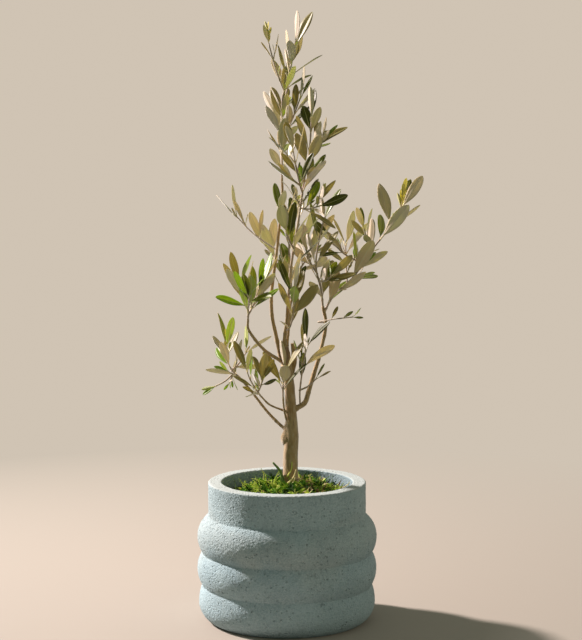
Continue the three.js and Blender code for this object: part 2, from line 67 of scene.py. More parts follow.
# how high the moss stands at each distance from its centre
MOSS_PROFILE = [(11.4, 9.5), (21, 9.5), (33, 7.5), (45, 5), (55, 2.5), (56, 0)]

# Trunk and boughs
TRUNK_BASE = SOIL_TOP + CLEARANCE
TRUNK_LINE = [(3.5, 0, TRUNK_BASE), (3.5, 0, 165), (5, 0, 186), (4, 0, 207), (3, 0, 228), (0.5, 0, 250),
              (-2.5, 0, 275)]
TRUNK_RADII = [7.6, 7.3, 6.6, 5.8, 5.2, 5.4, 4.3]
FLARE = {"share": 0.12, "swell": 0.3, "lobes": 5, "lobe_depth": 0.35}
STUB = {"line": [(3, 1, 243), (7, 2, 262), (6, 2, 279)], "radii": (3.4, 2.4), "raggedness": 0.3}
# the line, radius, widest share and fullness of each swelling of the trunk
SWELLINGS = [
    ([(2.6, 2, 165), (2.6, 2, 185), (2.6, 2, 205)], 6.8, 0.5, 0.6),
    ([(2.4, 3.4, 171), (2, 3.4, 180), (2.4, 3.0, 188), (3.4, 1.8, 199)], 8.5, 0.42, 0.9),
]
# the line of each bough, and its radii at the foot and the tip
BOUGHS = {
    "left_leader": ([(-3, 0, 258), (-6, -1, 264), (-11, -2, 287), (-15, -4, 308), (-15, -4, 333),
                     (-10, 0, 372), (-5, 4, 421), (-5, 5, 443)], (2.4, 1.2)),
    "centre_leader": ([(-3, -3, 276), (-2, -5, 288), (0, -9, 306), (1, -12, 319)], (2, 1.6)),
    "back_leader": ([(-1, 3, 276), (1, 7, 287), (2, 14, 303), (4, 24, 320)], (1.7, 1.3)),
    "right_bough": ([(4, 0, 209), (10, 0, 214), (18, 4, 219), (22, 8, 231), (28, 14, 250), (33, 20, 266),
                     (39, 26, 294), (36, 29, 313)], (3, 1.6)),
    "left_middle_bough": ([(0, 0, 257), (-8, -4, 263), (-23, -18, 275), (-37, -32, 295), (-38, -36, 307)],
                          (2.1, 1.2)),
    "left_low_bough": ([(4, 0, 190), (-3, 3, 193), (-19, 14, 207), (-37, 26, 228), (-49, 32, 241)],
                       (1.9, 1.1)),
    "left_low_twin": ([(3, 0, 209), (-3, -4, 212), (-17, -12, 219), (-26, -20, 229)], (1.2, 0.9)),
    "front_twig": ([(4, 0, 198), (0, -7, 202), (-3, -9, 215), (-4, -12, 227)], (1.3, 1)),
}

# The rule by which twigs and leaves grow, the same as in the part's solids. The dice deal out its numbers.
DICE = {"step": 48271, "span": 2147483647, "spread": 7919, "start": 12345, "unused": 3}
LINE_STEPS = 3
TWIG_SAG = 0.08
TWIG_BARE = 0.25
TWIG_RADII = (1.0, 0.6)
SPUR_RADII = (0.7, 0.5)
PAIRS_PER_SEED = 4
QUARTER_TURN = 90
FIRST_SHARE = 0.02
PAIR_PLAY = 0.5
TURN_PLAY = 52
SPLAY = 42
SPLAY_PLAY = 32
SIZE_PLAY = 0.44
WIDTH = 0.27
WIDTH_PLAY = 0.1
BEND_MIDDLE = 0.55
BEND_PLAY = 0.3
TWIST_PLAY = 90
RISE = 0.25
FALLEN_SHARE = 0.08
SPUR_SHARE = 0.12
SPUR = {"least_leaf": 20, "splay": 0.8, "reach": 0.25, "leaf_splay": 24, "leaf_size": 0.5}
TIP_SPLAY = 0.6
PETIOLE = 0.1
PETIOLE_WIDTH = 0.14
BLADE_SKEW = 1.15
BLADE_FULLNESS = 0.75
BLADE_MIDDLE = 0.55
ROOT_DEPTH = 0.4
TURNS = [0, 24, -24, 48, -48, 72, -72]
LEAF_GAP = 0.9
BOUGH_GAP = 0.8
TWIG_GAP = 1.6
NEAR = 0.62
FREE_ROOT = {"leaf": 0.16, "own_twig": 0.34, "bough": 0.3, "twig": 0.12}
RIB_STATIONS = [0.2, 0.36, 0.52, 0.68, 0.84, 1]


def twig(start, tip, pairs, leaf, seed):
    """A side twig, from its share of the stem to its tip."""
    return {"start": start, "tip": tip, "bare": TWIG_BARE, "pairs": pairs, "leaf": leaf, "seeds": [seed]}


# Masses of leaves: a stem that starts on its bough, and the side twigs that leave it.
# bare is the leafless share of the stem, pairs counts the pairs of leaves, leaf is their usual length.
MASSES = {
    # on the tip of the left leader, up to the top of the plant
    "leaves_crown_left": {
        "line": [(-5, 5, 443), (-5, 8, 470), (-5, 10, 502), (-4, 10, 524), (2, 8, 544), (5, 6, 557),
                 (8, 5, 571)],
        "radii": (1.1, 0.6), "bare": 0.06, "pairs": 9, "leaf": 35, "seeds": [1903, 699, 6193],
        "twigs": [twig(0.66, (-18, 16, 575), 3, 22, 5632), twig(0.3, (13, -4, 521), 3, 30, 1112),
                  twig(0.12, (-8, 38, 500), 4, 34, 6918), twig(0.5, (4, 34, 556), 4, 30, 521)]},
    # on the tip of the centre leader
    "leaves_crown_centre": {
        "line": [(1, -12, 319), (3, -15, 348), (6, -18, 371), (11, -20, 401), (14, -20, 422), (17, -18, 442),
                 (22, -15, 471), (24, -12, 502)],
        "radii": (1.5, 0.7), "bare": 0.02, "pairs": 13, "leaf": 39, "seeds": [6563, 4762, 4244, 4690],
        "twigs": [twig(0.82, (34, -12, 480), 3, 26, 1337), twig(0.52, (29, -32, 416), 3, 30, 26),
                  twig(0.3, (-6, -40, 410), 4, 38, 3887), twig(0.6, (6, -36, 470), 4, 34, 6690)]},
    # on the right bough: the long shoot at the right
    "leaves_right_long": {
        "line": [(37, 28, 306), (43, 32, 318), (49, 36, 326), (66, 44, 340), (89, 52, 372), (105, 56, 392),
                 (116, 60, 410)],
        "radii": (1.3, 0.7), "bare": 0.06, "pairs": 8, "leaf": 43, "seeds": [437, 6496],
        "twigs": [twig(0.62, (78, 46, 390), 3, 28, 891), twig(0.5, (44, 36, 378), 3, 24, 224),
                  twig(0.3, (60, 66, 372), 4, 36, 6838)]},
    # on the tip of the right bough
    "leaves_right_inner": {
        "line": [(36, 29, 313), (34, 26, 332), (29, 20, 353), (31, 16, 376), (36, 12, 399)],
        "radii": (1.2, 0.7), "bare": 0.12, "pairs": 5, "leaf": 38, "seeds": [4013, 7975],
        "twigs": [twig(0.4, (18, 52, 372), 4, 36, 648), twig(0.3, (44, 4, 345), 3, 30, 679)]},
    # on the side of the left leader
    "leaves_left_thin": {
        "line": [(-10, 0, 372), (-26, 10, 382), (-37, 18, 390), (-45, 24, 398), (-51, 28, 404)],
        "radii": (0.9, 0.6), "bare": 0.45, "pairs": 3, "leaf": 31, "seeds": [956], "twigs": []},
    # on the tip of the left middle bough
    "leaves_left_cluster": {
        "line": [(-38, -36, 307), (-38, -38, 318), (-43, -40, 331), (-45, -42, 341)],
        "radii": (1.1, 0.7), "bare": 0.1, "pairs": 4, "leaf": 42, "seeds": [3053],
        "twigs": [twig(0.1, (-27, -34, 337), 4, 38, 3852), twig(0.3, (-36, -58, 330), 3, 36, 2899)]},
    # on the tip of the left low bough
    "leaves_left_low": {
        "line": [(-49, 32, 241), (-56, 36, 247), (-62, 40, 259), (-62, 42, 269)],
        "radii": (1, 0.6), "bare": 0.05, "pairs": 4, "leaf": 34, "seeds": [4761],
        "twigs": [twig(0.2, (-72, 30, 232), 2, 22, 4692), twig(0.3, (-42, 48, 264), 3, 28, 5882)]},
    # on the tip of the left low twin
    "leaves_left_twin": {
        "line": [(-26, -20, 229), (-30, -24, 235), (-36, -28, 246), (-39, -30, 254)],
        "radii": (0.9, 0.6), "bare": 0.05, "pairs": 4, "leaf": 28, "seeds": [7083],
        "twigs": [twig(0.2, (-24, -34, 246), 3, 26, 2954)]},
    # on the tip of the front twig
    "leaves_front": {
        "line": [(-4, -12, 227), (-4, -14, 240), (-2, -17, 252)],
        "radii": (0.9, 0.6), "bare": 0.2, "pairs": 3, "leaf": 38, "seeds": [3368], "twigs": []},
    # on the side of the centre leader
    "leaves_centre_front": {
        "line": [(-1, -6, 292), (3, -14, 297), (6, -20, 310), (6, -26, 328)],
        "radii": (0.9, 0.6), "bare": 0.2, "pairs": 4, "leaf": 36, "seeds": [6016], "twigs": []},
    # on the foot of the right bough
    "leaves_inner_right": {
        "line": [(13, 2, 217), (13, -4, 234), (17, -12, 264), (20, -18, 279)],
        "radii": (0.9, 0.6), "bare": 0.45, "pairs": 4, "leaf": 36, "seeds": [7142],
        "twigs": [twig(0.25, (29, -12, 245), 2, 20, 3509)]},
    # on the side of the right bough
    "leaves_right_low": {
        "line": [(38, 27, 297), (31, 22, 298), (46, 10, 302), (65, 2, 305)],
        "radii": (0.7, 0.5), "bare": 0.5, "pairs": 3, "leaf": 14, "seeds": [5640], "twigs": []},
    # on the tip of the back leader
    "leaves_back": {
        "line": [(4, 24, 320), (4, 34, 345), (2, 44, 372), (6, 50, 395)],
        "radii": (1.1, 0.6), "bare": 0.1, "pairs": 6, "leaf": 38, "seeds": [7311, 5188],
        "twigs": [twig(0.3, (26, 60, 370), 4, 34, 2), twig(0.4, (-22, 58, 372), 4, 34, 4898)]},
}

# What is grown on top of that rule: buds on the tips, small twigs in the axils and crowded young leaves
SMALL_FORM = ((0.22, 0.3), (-0.1, 0.06), (-30, 30))
TIP_BUD = {"leaf": (6, 10), "splay": 16}
SHOOTLET = {"share": 0.3, "least_leaf": 20, "splay": 34, "reach": (4, 9), "leaf": (6, 10), "leaf_splay": 26,
            "radii": (0.5, 0.35), "seed": 11}
# the mass and the number of each shoot with young leaves: how many leaves of what length
YOUNG = {("leaves_crown_left", 1): (6, 20), ("leaves_crown_centre", 1): (5, 20),
         ("leaves_crown_centre", 2): (4, 24), ("leaves_right_long", 0): (7, 31),
         ("leaves_left_low", 0): (4, 18)}
YOUNG_SHOOT = {"rise": 2, "stem": 0.5, "leaf": (0.48, 0.62), "splay": (26, 9), "play": 5, "turn": (35, 75),
               "form": ((0.26, 0.34), (-0.12, 0.02), (-15, 15)), "gap": 0.3, "free": 0.3}


# Points and lines in space

def add(a, b):
    return (a[0] + b[0], a[1] + b[1], a[2] + b[2])


def sub(a, b):
    return (a[0] - b[0], a[1] - b[1], a[2] - b[2])


def scale(a, factor):
    return (a[0] * factor, a[1] * factor, a[2] * factor)


def dot(a, b):
    return a[0] * b[0] + a[1] * b[1] + a[2] * b[2]


def cross(a, b):
    return (a[1] * b[2] - a[2] * b[1], a[2] * b[0] - a[0] * b[2], a[0] * b[1] - a[1] * b[0])


def size(a):
    return sqrt(dot(a, a))


def unit(a):
    return scale(a, 1 / size(a))


def mix(a, b, share):
    return add(scale(a, 1 - share), scale(b, share))


def turned(a, b, angle):
    """The direction at an angle from a towards b, which are square to each other."""
    return add(scale(a, cos(angle)), scale(b, sin(angle)))


def smooth(points, steps):
    """A Catmull-Rom line through the points, with this many steps from each to the next."""
    line = []
    for i in range(len(points) - 1):
        start, end = points[i], points[i + 1]
        before = points[i - 1] if i > 0 else sub(scale(start, 2), end)
        after = points[i + 2] if i + 2 < len(points) else sub(scale(end, 2), start)
        for step in range(steps):
            t = step / steps
            linear = scale(sub(end, before), t)
            square = scale(add(sub(scale(before, 2), scale(start, 5)), sub(scale(end, 4), after)), t * t)
            cube = scale(add(sub(scale(start, 3), before), sub(after, scale(end, 3))), t * t * t)
            line.append(scale(add(add(scale(start, 2), linear), add(square, cube)), 0.5))
    line.append(points[-1])
    return line


def spans_of(line):
    return [size(sub(end, start)) for start, end in zip(line, line[1:])]


def along(line, share):
    """The point and the heading at a share of a line's length."""
    spans = spans_of(line)
    left = share * sum(spans)
    i = 0
    while i < len(spans) - 1 and left > spans[i]:
        left -= spans[i]
        i += 1
    run = sub(line[i + 1], line[i])
    return add(line[i], scale(run, left / spans[i])), unit(run)


def side_of(heading, degrees):
    """The direction square to a heading, at an angle counted from the right-hand side towards the back."""
    back = (0, 1, 0)
    back = unit(sub(back, scale(heading, dot(back, heading))))
    return turned(cross(back, heading), back, radians(degrees))


def heading_at(line, i):
    return unit(sub(line[min(i + 1, len(line) - 1)], line[max(i - 1, 0)]))


def taper(radii):
    foot, tip = radii
    return lambda share, degrees: foot + (tip - foot) * share


# The seeded rule

def dice(seed):
    """Even numbers between 0 and 1, the same each time for one seed."""
    state = seed * DICE["spread"] + DICE["start"]

    def roll():
        nonlocal state
        state = (state * DICE["step"]) % DICE["span"]
        return state / DICE["span"]

    for _ in range(DICE["unused"]):
        roll()
    return roll


def half_width(share):
    """The half width at a share of a leaf's length, as a share of the widest."""
    if share <= PETIOLE:
        return PETIOLE_WIDTH
    blade = ((share - PETIOLE) / (1 - PETIOLE)) ** BLADE_SKEW
    return max(PETIOLE_WIDTH, max(0, sin(pi * blade)) ** BLADE_FULLNESS)


def on_leaf(leaf, share, edge):
    spine = add(leaf["root"], scale(leaf["dir"], leaf["length"] * share))
    spine = add(spine, scale(leaf["up"], leaf["bend"] * leaf["length"] * share * share))
    return add(spine, scale(leaf["across"], edge * leaf["width"] / 2 * half_width(share)))


def leaf_heading(heading, turn, splay):
    return unit(add(turned(heading, side_of(heading, turn), radians(splay)), (0, 0, RISE)))


def make_leaf(root, heading, turn, splay, length, slender, bend, twist):
    """dir runs along the leaf, up is the side that faces its twig, across is square to both."""
    angle = radians(splay)
    roll = radians(twist)
    out = leaf_heading(heading, turn, splay)
    inner = sub(scale(heading, sin(angle)), scale(side_of(heading, turn), cos(angle)))
    inner = unit(sub(inner, scale(out, dot(inner, out))))
    square = cross(out, inner)
    leaf = {"root": root, "dir": out, "length": length, "width": length * slender, "bend": bend}
    leaf["across"] = turned(square, inner, roll)
    leaf["up"] = sub(scale(inner, cos(roll)), scale(square, sin(roll)))
    leaf["middle"] = on_leaf(leaf, BLADE_MIDDLE, 0)
    leaf["ribs"] = [[on_leaf(leaf, share, edge) for share in RIB_STATIONS] for edge in (-1, 0, 1)]
    return leaf


def over_leaf(leaf, share, off, gap, free):
    half = leaf["width"] / 2 * half_width(min(share, 1))
    return free < share < 1 + gap / leaf["length"] and abs(off) < half + gap


def pierces(line, leaf, gap, free):
    """Whether a line of points passes through a leaf, beyond its free root, or comes within the gap of it."""
    last = None
    for point in line:
        from_root = sub(point, leaf["root"])
        share = dot(from_root, leaf["dir"]) / leaf["length"]
        height = dot(from_root, leaf["up"]) - leaf["bend"] * leaf["length"] * share * share
        off = dot(from_root, leaf["across"])
        if abs(height) < gap and over_leaf(leaf, share, off, gap, free):
            return True
        if last and last[1] * height < 0:
            part = last[1] / (last[1] - height)
            crossing = last[0] + (share - last[0]) * part
            if over_leaf(leaf, crossing, last[2] + (off - last[2]) * part, gap, free):
                return True
        last = (share, height, off)
    return False


def leaves_touch(a, b):
    if size(sub(a["middle"], b["middle"])) > (a["length"] + b["length"]) * NEAR:
        return False
    return any(pierces(rib, other, LEAF_GAP, FREE_ROOT["leaf"])
               for leaf, other in ((a, b), (b, a)) for rib in leaf["ribs"])


class Crown:
    """The wood, and the leaves that stand already."""

    def __init__(self):
        self.leaves = []
        self.limbs = [(smooth(line, LINE_STEPS), radii[0] + BOUGH_GAP, None)
                      for line, radii in ((TRUNK_LINE, TRUNK_RADII), *BOUGHS.values())]

    def has_room(self, leaf, mass):
        """Whether a leaf of a mass is clear of all that stands. A bough has no owner."""
        for line, gap, owner in self.limbs:
            kind = "bough" if owner is None else "own_twig" if owner == mass["name"] else "twig"
            if pierces(line, leaf, gap, FREE_ROOT[kind]):
                return False
        return not any(leaves_touch(leaf, other) for other in self.leaves)

    def place(self, mass, kind, root, heading, turn, splay, length, form):
        """Adds a leaf, turned aside until it has room. form gives its slenderness, bend and twist."""
        for aside in TURNS:
            leaf = make_leaf(root, heading, turn + aside, splay, length, *form())
            if self.has_room(leaf, mass):
                self.leaves.append(leaf)
                mass[kind].append(leaf)
                return


def leaf_up(shoot, mass, crown):
    """Pairs of leaves along a shoot, and now and then a spur with a small pair."""
    step = (1 - shoot["bare"]) / max(shoot["pairs"] - 1, 1)
    for pair in range(shoot["pairs"]):
        if pair % PAIRS_PER_SEED == 0:
            roll = dice(shoot["seeds"][pair // PAIRS_PER_SEED])
            start = roll() * QUARTER_TURN
        at_tip = pair == shoot["pairs"] - 1
        share = 1 if at_tip else shoot["bare"] + step * (pair + (roll() - 0.5) * PAIR_PLAY)
        share = min(max(share, FIRST_SHARE), 1)
        point, heading = along(shoot["line"], share)
        pair_turn = start + QUARTER_TURN * pair
        shoot["axils"].append({"share": share, "point": point, "heading": heading, "turn": pair_turn})
        for half in (0, 180):
            turn = pair_turn + half + (roll() - 0.5) * TURN_PLAY
            splay = (SPLAY + (roll() - 0.5) * SPLAY_PLAY) * (TIP_SPLAY if at_tip else 1)
            length = shoot["leaf"] * (1 + (roll() - 0.5) * SIZE_PLAY)
            slender = WIDTH + (roll() - 0.5) * WIDTH_PLAY
            bend = (roll() - BEND_MIDDLE) * BEND_PLAY
            form = (slender, bend, (roll() - 0.5) * TWIST_PLAY)
            fallen = roll() < FALLEN_SHARE
            has_spur = roll() < SPUR_SHARE
            if fallen and not at_tip:
                continue
            crown.place(mass, "leaves", point, heading, turn, splay, length, lambda: form)
            if not has_spur or at_tip or shoot["leaf"] <= SPUR["least_leaf"]:
                continue
            spur_heading = leaf_heading(heading, turn, splay * SPUR["splay"])
            spur_tip = add(point, scale(spur_heading, length * SPUR["reach"]))
            mass["spurs"].append((point, spur_tip))
            for end in (90, 270):
                crown.place(mass, "leaves", spur_tip, spur_heading, start + end, SPUR["leaf_splay"],
                            length * SPUR["leaf_size"], lambda: form)


def twig_knots(stem, rule):
    """A side twig rises from its place on the stem, sagging a little on the way to its tip."""
    foot, _ = along(stem["line"], rule["start"])
    sag = TWIG_SAG * size(sub(rule["tip"], foot))
    return [foot, sub(mix(foot, rule["tip"], 0.5), (0, 0, sag)), rule["tip"]]


def new_shoot(rule, knots, radii):
    return {**rule, "knots": knots, "radii": radii, "line": smooth(knots, LINE_STEPS), "axils": []}


def grow_masses(crown):
    """The stems and twigs of all the masses, and then their leaves, which keep clear of them all."""
    masses = []
    for name, rule in MASSES.items():
        shoots = [new_shoot(rule, rule["line"], rule["radii"])]
        shoots += [new_shoot(side, twig_knots(shoots[0], side), TWIG_RADII) for side in rule["twigs"]]
        crown.limbs += [(shoot["line"], TWIG_GAP, name) for shoot in shoots]
        parts = {kind: [] for kind in ("leaves", "spurs", "shootlets", "small", "young")}
        masses.append({"name": name, "shoots": shoots, **parts})
    for mass in masses:
        for shoot in mass["shoots"]:
            leaf_up(shoot, mass, crown)
    return masses


def drawn(chance, ranges):
    return [chance.uniform(*values) for values in ranges]


def grow_young(mass, crown, tip, heading, count, length, chance):
    """Young leaves crowded in pairs on a short upright stem, which splay less the higher they stand."""
    upward = unit(add(heading, (0, 0, YOUNG_SHOOT["rise"])))
    stem = scale(upward, YOUNG_SHOOT["stem"] * length)
    mass["shootlets"].append((tip, add(tip, stem)))
    low, high = YOUNG_SHOOT["splay"]
    for k in range(count):
        level = (k // 2) / max(1, (count - 1) // 2)
        own_length = length * chance.uniform(*YOUNG_SHOOT["leaf"])
        splay = low + (high - low) * level + chance.uniform(-1, 1) * YOUNG_SHOOT["play"]
        turn = QUARTER_TURN * (k // 2) + 180 * (k % 2) + chance.uniform(*YOUNG_SHOOT["turn"])
        leaf = make_leaf(add(tip, scale(stem, level)), upward, turn, splay, own_length,
                         *drawn(chance, YOUNG_SHOOT["form"]))
        gap, free = YOUNG_SHOOT["gap"], YOUNG_SHOOT["free"]
        if not any(pierces(rib, other, gap, free) for rib in leaf["ribs"] for other in crown.leaves):
            mass["young"].append(leaf)


def grow_shootlets(masses, crown):
    """Finer twigs, each with a pair of small leaves, in the axils of the larger leaves and at the tips."""
    chance = random.Random(SHOOTLET["seed"])

    def small_form():
        return drawn(chance, SMALL_FORM)

    for mass in masses:
        for number, shoot in enumerate(mass["shoots"]):
            tip, heading = along(shoot["line"], 1)
            if (mass["name"], number) in YOUNG:
                grow_young(mass, crown, tip, heading, *YOUNG[mass["name"], number], chance)
            for half in (0, 180):
                turn = shoot["axils"][-1]["turn"] + QUARTER_TURN + half
                length = chance.uniform(*TIP_BUD["leaf"])
                crown.place(mass, "small", tip, heading, turn, TIP_BUD["splay"], length, small_form)
            if shoot["leaf"] <= SHOOTLET["least_leaf"]:
                continue
            for axil in shoot["axils"][:-1]:
                for half in (0, 180):
                    if chance.random() > SHOOTLET["share"]:
                        continue
                    out = leaf_heading(axil["heading"], axil["turn"] + half, SHOOTLET["splay"])
                    end = add(axil["point"], scale(out, chance.uniform(*SHOOTLET["reach"])))
                    mass["shootlets"].append((axil["point"], end))
                    for side in (0, 180):
                        turn = side + chance.uniform(0, QUARTER_TURN)
                        length = chance.uniform(*SHOOTLET["leaf"])
                        crown.place(mass, "small", end, out, turn, SHOOTLET["leaf_splay"], length, small_form)


# Meshes

def ring_quads(rings, sides):
    """The faces between rings of points, each ring counter-clockwise seen from the next."""
    low = np.arange(rings - 1)[:, None] * sides
    side = np.arange(sides)[None, :]
    after = (side + 1) % sides
    corners = (low + side, low + after, low + sides + after, low + sides + side)
    return np.stack(corners, axis=-1).reshape(-1, 4)


def on_circle(radius, angle):
    return radius * cos(angle), radius * sin(angle)


class Shape:
    """The points and faces of one piece, each face with the number of its material."""

    def __init__(self):
        self.points = []
        self.faces = []
        self.paint = []

    def add(self, points, faces, paint):
        start = len(self.points)
        self.points.extend(points)
        self.faces.extend([start + i for i in face] for face in faces)
        self.paint.extend(paint)

    def loft(self, rings, paint, foot=None, tip=None):
        """A closed skin over rings, with a paint for each side. Its ends are flat or run to a point."""
        sides = len(rings[0])
        faces = ring_quads(len(rings), sides).tolist()
        points = [point for ring in rings for point in ring]
        last = (len(rings) - 1) * sides
        if foot:
            points.append(foot)
            faces.extend((len(points) - 1, (side + 1) % sides, side) for side in range(sides))
        else:
            faces.append(range(sides - 1, -1, -1))
        if tip:
            points.append(tip)
            faces.extend((last + side, last + (side + 1) % sides, len(points) - 1) for side in range(sides))
        else:
            faces.append(range(last, last + sides))
        on_sides = paint * (len(rings) - 1)
        self.add(points, faces, on_sides + paint[:1] * (len(faces) - len(on_sides)))

    def mesh(self, name):
        return mesh_of(name, self.points, self.faces, self.paint)

    def tube(self, line, radius_at, sides, paint=0, tip_round=0.0):
        last = len(line) - 1
        rings = []
        for i, point in enumerate(line):
            heading = heading_at(line, i)
            right, back = side_of(heading, 0), side_of(heading, 90)
            ring = []
            for side in range(sides):
                degrees = 360 * side / sides
                out = turned(right, back, radians(degrees))
                ring.append(add(point, scale(out, radius_at(i / last, degrees))))
            rings.append(ring)
        tip = add(line[-1], scale(heading_at(line, last), tip_round)) if tip_round else None
        self.loft(rings, [paint] * sides, tip=tip)


def link(name, data):
    made = bpy.data.objects.new(name, data)
    bpy.context.scene.collection.objects.link(made)
    return made


def link_piece(mesh, materials, nodes):
    for material in materials:
        mesh.materials.append(material)
    piece = link(mesh.name, mesh)
    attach(piece, "root")
    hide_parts(*nodes)


def mesh_of(name, points, faces, paint=None):
    """A smooth mesh in metres. paint is the number of each face's material."""
    mesh = bpy.data.meshes.new(name)
    mesh.from_pydata((np.array(points) * MM).tolist(), [], faces)
    mesh.polygons.foreach_set("material_index", paint or [0] * len(faces))
    mesh.polygons.foreach_set("use_smooth", [True] * len(faces))
    return mesh


def weld(mesh):
    """Joins the points that lie together on the axis, and drops the faces that this closes."""
    work = bmesh.new()
    work.from_mesh(mesh)
    bmesh.ops.remove_doubles(work, verts=work.verts, dist=0.01 * MM)
    work.to_mesh(mesh)
    work.free()


def lathe(profile, sides, relief=None):
    """Rings of points and four-sided faces from a profile turned round the axis.
    relief gives how far a point between its ends stands out along its normal."""
    radii, heights = np.array(profile, dtype=float).T
    step_r = np.gradient(radii)
    step_z = np.gradient(heights)
    run = np.hypot(step_r, step_z)
    points = []
    for i, (radius, height) in enumerate(zip(radii, heights)):
        for side in range(sides):
            angle = side * 2 * pi / sides
            has_relief = relief and 0 < i < len(profile) - 1
            out = relief(*on_circle(radius, angle), height) if has_relief else 0
            reach = radius + out * (step_z[i] / run[i])
            points.append((*on_circle(reach, angle), height - out * (step_r[i] / run[i])))
    return points, ring_quads(len(profile), sides).tolist()


def lumps(spot, layers):
    """The sum of some layers of noise, each with its pitch, height and shift."""
    return sum(height * noise.noise(spot / pitch + Vector(shift)) for pitch, height, shift in layers)


def divided(point, pitches):
    return Vector([value / pitch for value, pitch in zip(point, pitches)])


# Materials

class Paint:
    """A material of nodes, and the colour that its layers have made so far."""

    def __init__(self, name, colour, roughness, **sockets):
        self.material = bpy.data.materials.new(name)
        self.material.use_nodes = True
        self.tree = self.material.node_tree
        self.shader = self.tree.nodes["Principled BSDF"]
        self.colour = (*colour, 1)
        for key, value in {"Base_Color": self.colour, "Roughness": roughness, **sockets}.items():
            self.shader.inputs[key.replace("_", " ")].default_value = value

    def node(self, kind, inputs, **settings):
        """The outputs of a new node. A value that is a socket is linked, any other is set."""
        made = self.tree.nodes.new("ShaderNode" + kind)
        for key, value in settings.items():
            setattr(made, key, value)
        for key, value in inputs.items():
            if isinstance(value, bpy.types.NodeSocket):
                self.tree.links.new(value, made.inputs[key])
            else:
                made.inputs[key].default_value = value
        return made.outputs

    def calc(self, operation, first, second):
        return self.node("Math", {0: first, 1: second}, operation=operation)[0]

    def ranged(self, value, low, high, to_low=0.0, to_high=1.0):
        inputs = {"Value": value, "From Min": low, "From Max": high, "To Min": to_low, "To Max": to_high}
        return self.node("MapRange", inputs)["Result"]

    def space(self, stretch=(1, 1, 1)):
        place = self.node("TexCoord", {})["Object"]
        if stretch == (1, 1, 1):
            return place
        return self.node("Mapping", {"Vector": place, "Scale": stretch})["Vector"]

    def from_axis(self):
        return self.node("VectorMath", {0: self.space((1, 1, 0))}, operation="LENGTH")["Value"]

    def noise(self, pitch, detail=2.0, roughness=0.5, upright=1):
        """Noise with lumps about pitch millimetres apart. An upright under 1 draws them out in height."""
        inputs = {"Vector": self.space((1, 1, upright)), "Scale": 1 / (pitch * MM), "Detail": detail}
        return self.node("TexNoise", {**inputs, "Roughness": roughness})["Fac"]

    def cover(self, field, start, full, share, colour, way="MIX"):
        """Lays a colour over the others: none where the field is at start, this share where it is at full."""
        inputs = {0: self.ranged(field, start, full, 0, share), 6: self.colour, 7: (*colour, 1)}
        self.colour = self.node("Mix", inputs, data_type="RGBA", blend_type=way)[2]

    def patch(self, colour, pitch, detail=3, roughness=0.5):
        """Soft patches of a second colour."""
        self.cover(self.noise(pitch, detail, roughness), 0.35, 0.65, 1, colour)

    def finish(self, height, depth, strength):
        """The material, with its colour and a bump of a depth in millimetres."""
        bump = self.node("Bump", {"Height": height, "Distance": depth * MM, "Strength": strength})
        self.tree.links.new(bump["Normal"], self.shader.inputs["Normal"])
        self.tree.links.new(self.colour, self.shader.inputs["Base Color"])
        return self.material

    def with_shader(self, share, other):
        """The material, with a share of another shader."""
        mixed = self.node("MixShader", {0: share, 1: self.shader.outputs[0], 2: other[0]})
        self.tree.links.new(mixed[0], self.tree.nodes["Material Output"].inputs["Surface"])
        return self.material


CONCRETE = {"dull": (0.275, 0.374, 0.40), "light": (0.335, 0.445, 0.47), "streak": (0.38, 0.48, 0.48),
            # the colour of the pits is partly the concrete's own dark specks and partly painted shade in them
            "grain": (0.46, 0.565, 0.565), "speck": (0.20, 0.28, 0.29), "shaded_pit": (0.10, 0.14, 0.145),
            # the colour of the inside is painted shade on the inner wall of the planter
            # the colour of the rim is painted light on its rounded top
            "painted_rim_light": (0.375, 0.415, 0.39), "inside": (0.20, 0.285, 0.32)}
# the concrete is a little bluer below its top band and a little greyer on it, with soft and uneven edges
LOW_TINT = (0.975, 1.01, 1.04)
BAND_TINT = (1.025, 0.985, 0.965)
TINT_EDGES = {"low": (70, 60), "band_foot": (68, 78), "band_top": (112, 102), "drift": 20}
# pits in the concrete: how far apart their cells lie, the share of cells left whole, and each one's greatest
# reach, width of slope, darkness and depth
# the darkness of a pit is partly the concrete's own dark specks and partly painted shade in the pit
PITS = ((3.0, 0.0, 0.46, 0.34, 0.2, 1.9), (4.8, 0.4, 0.24, 0.12, 0.45, 2.2), (13, 0.55, 0.12, 0.1, 0.85, 2))


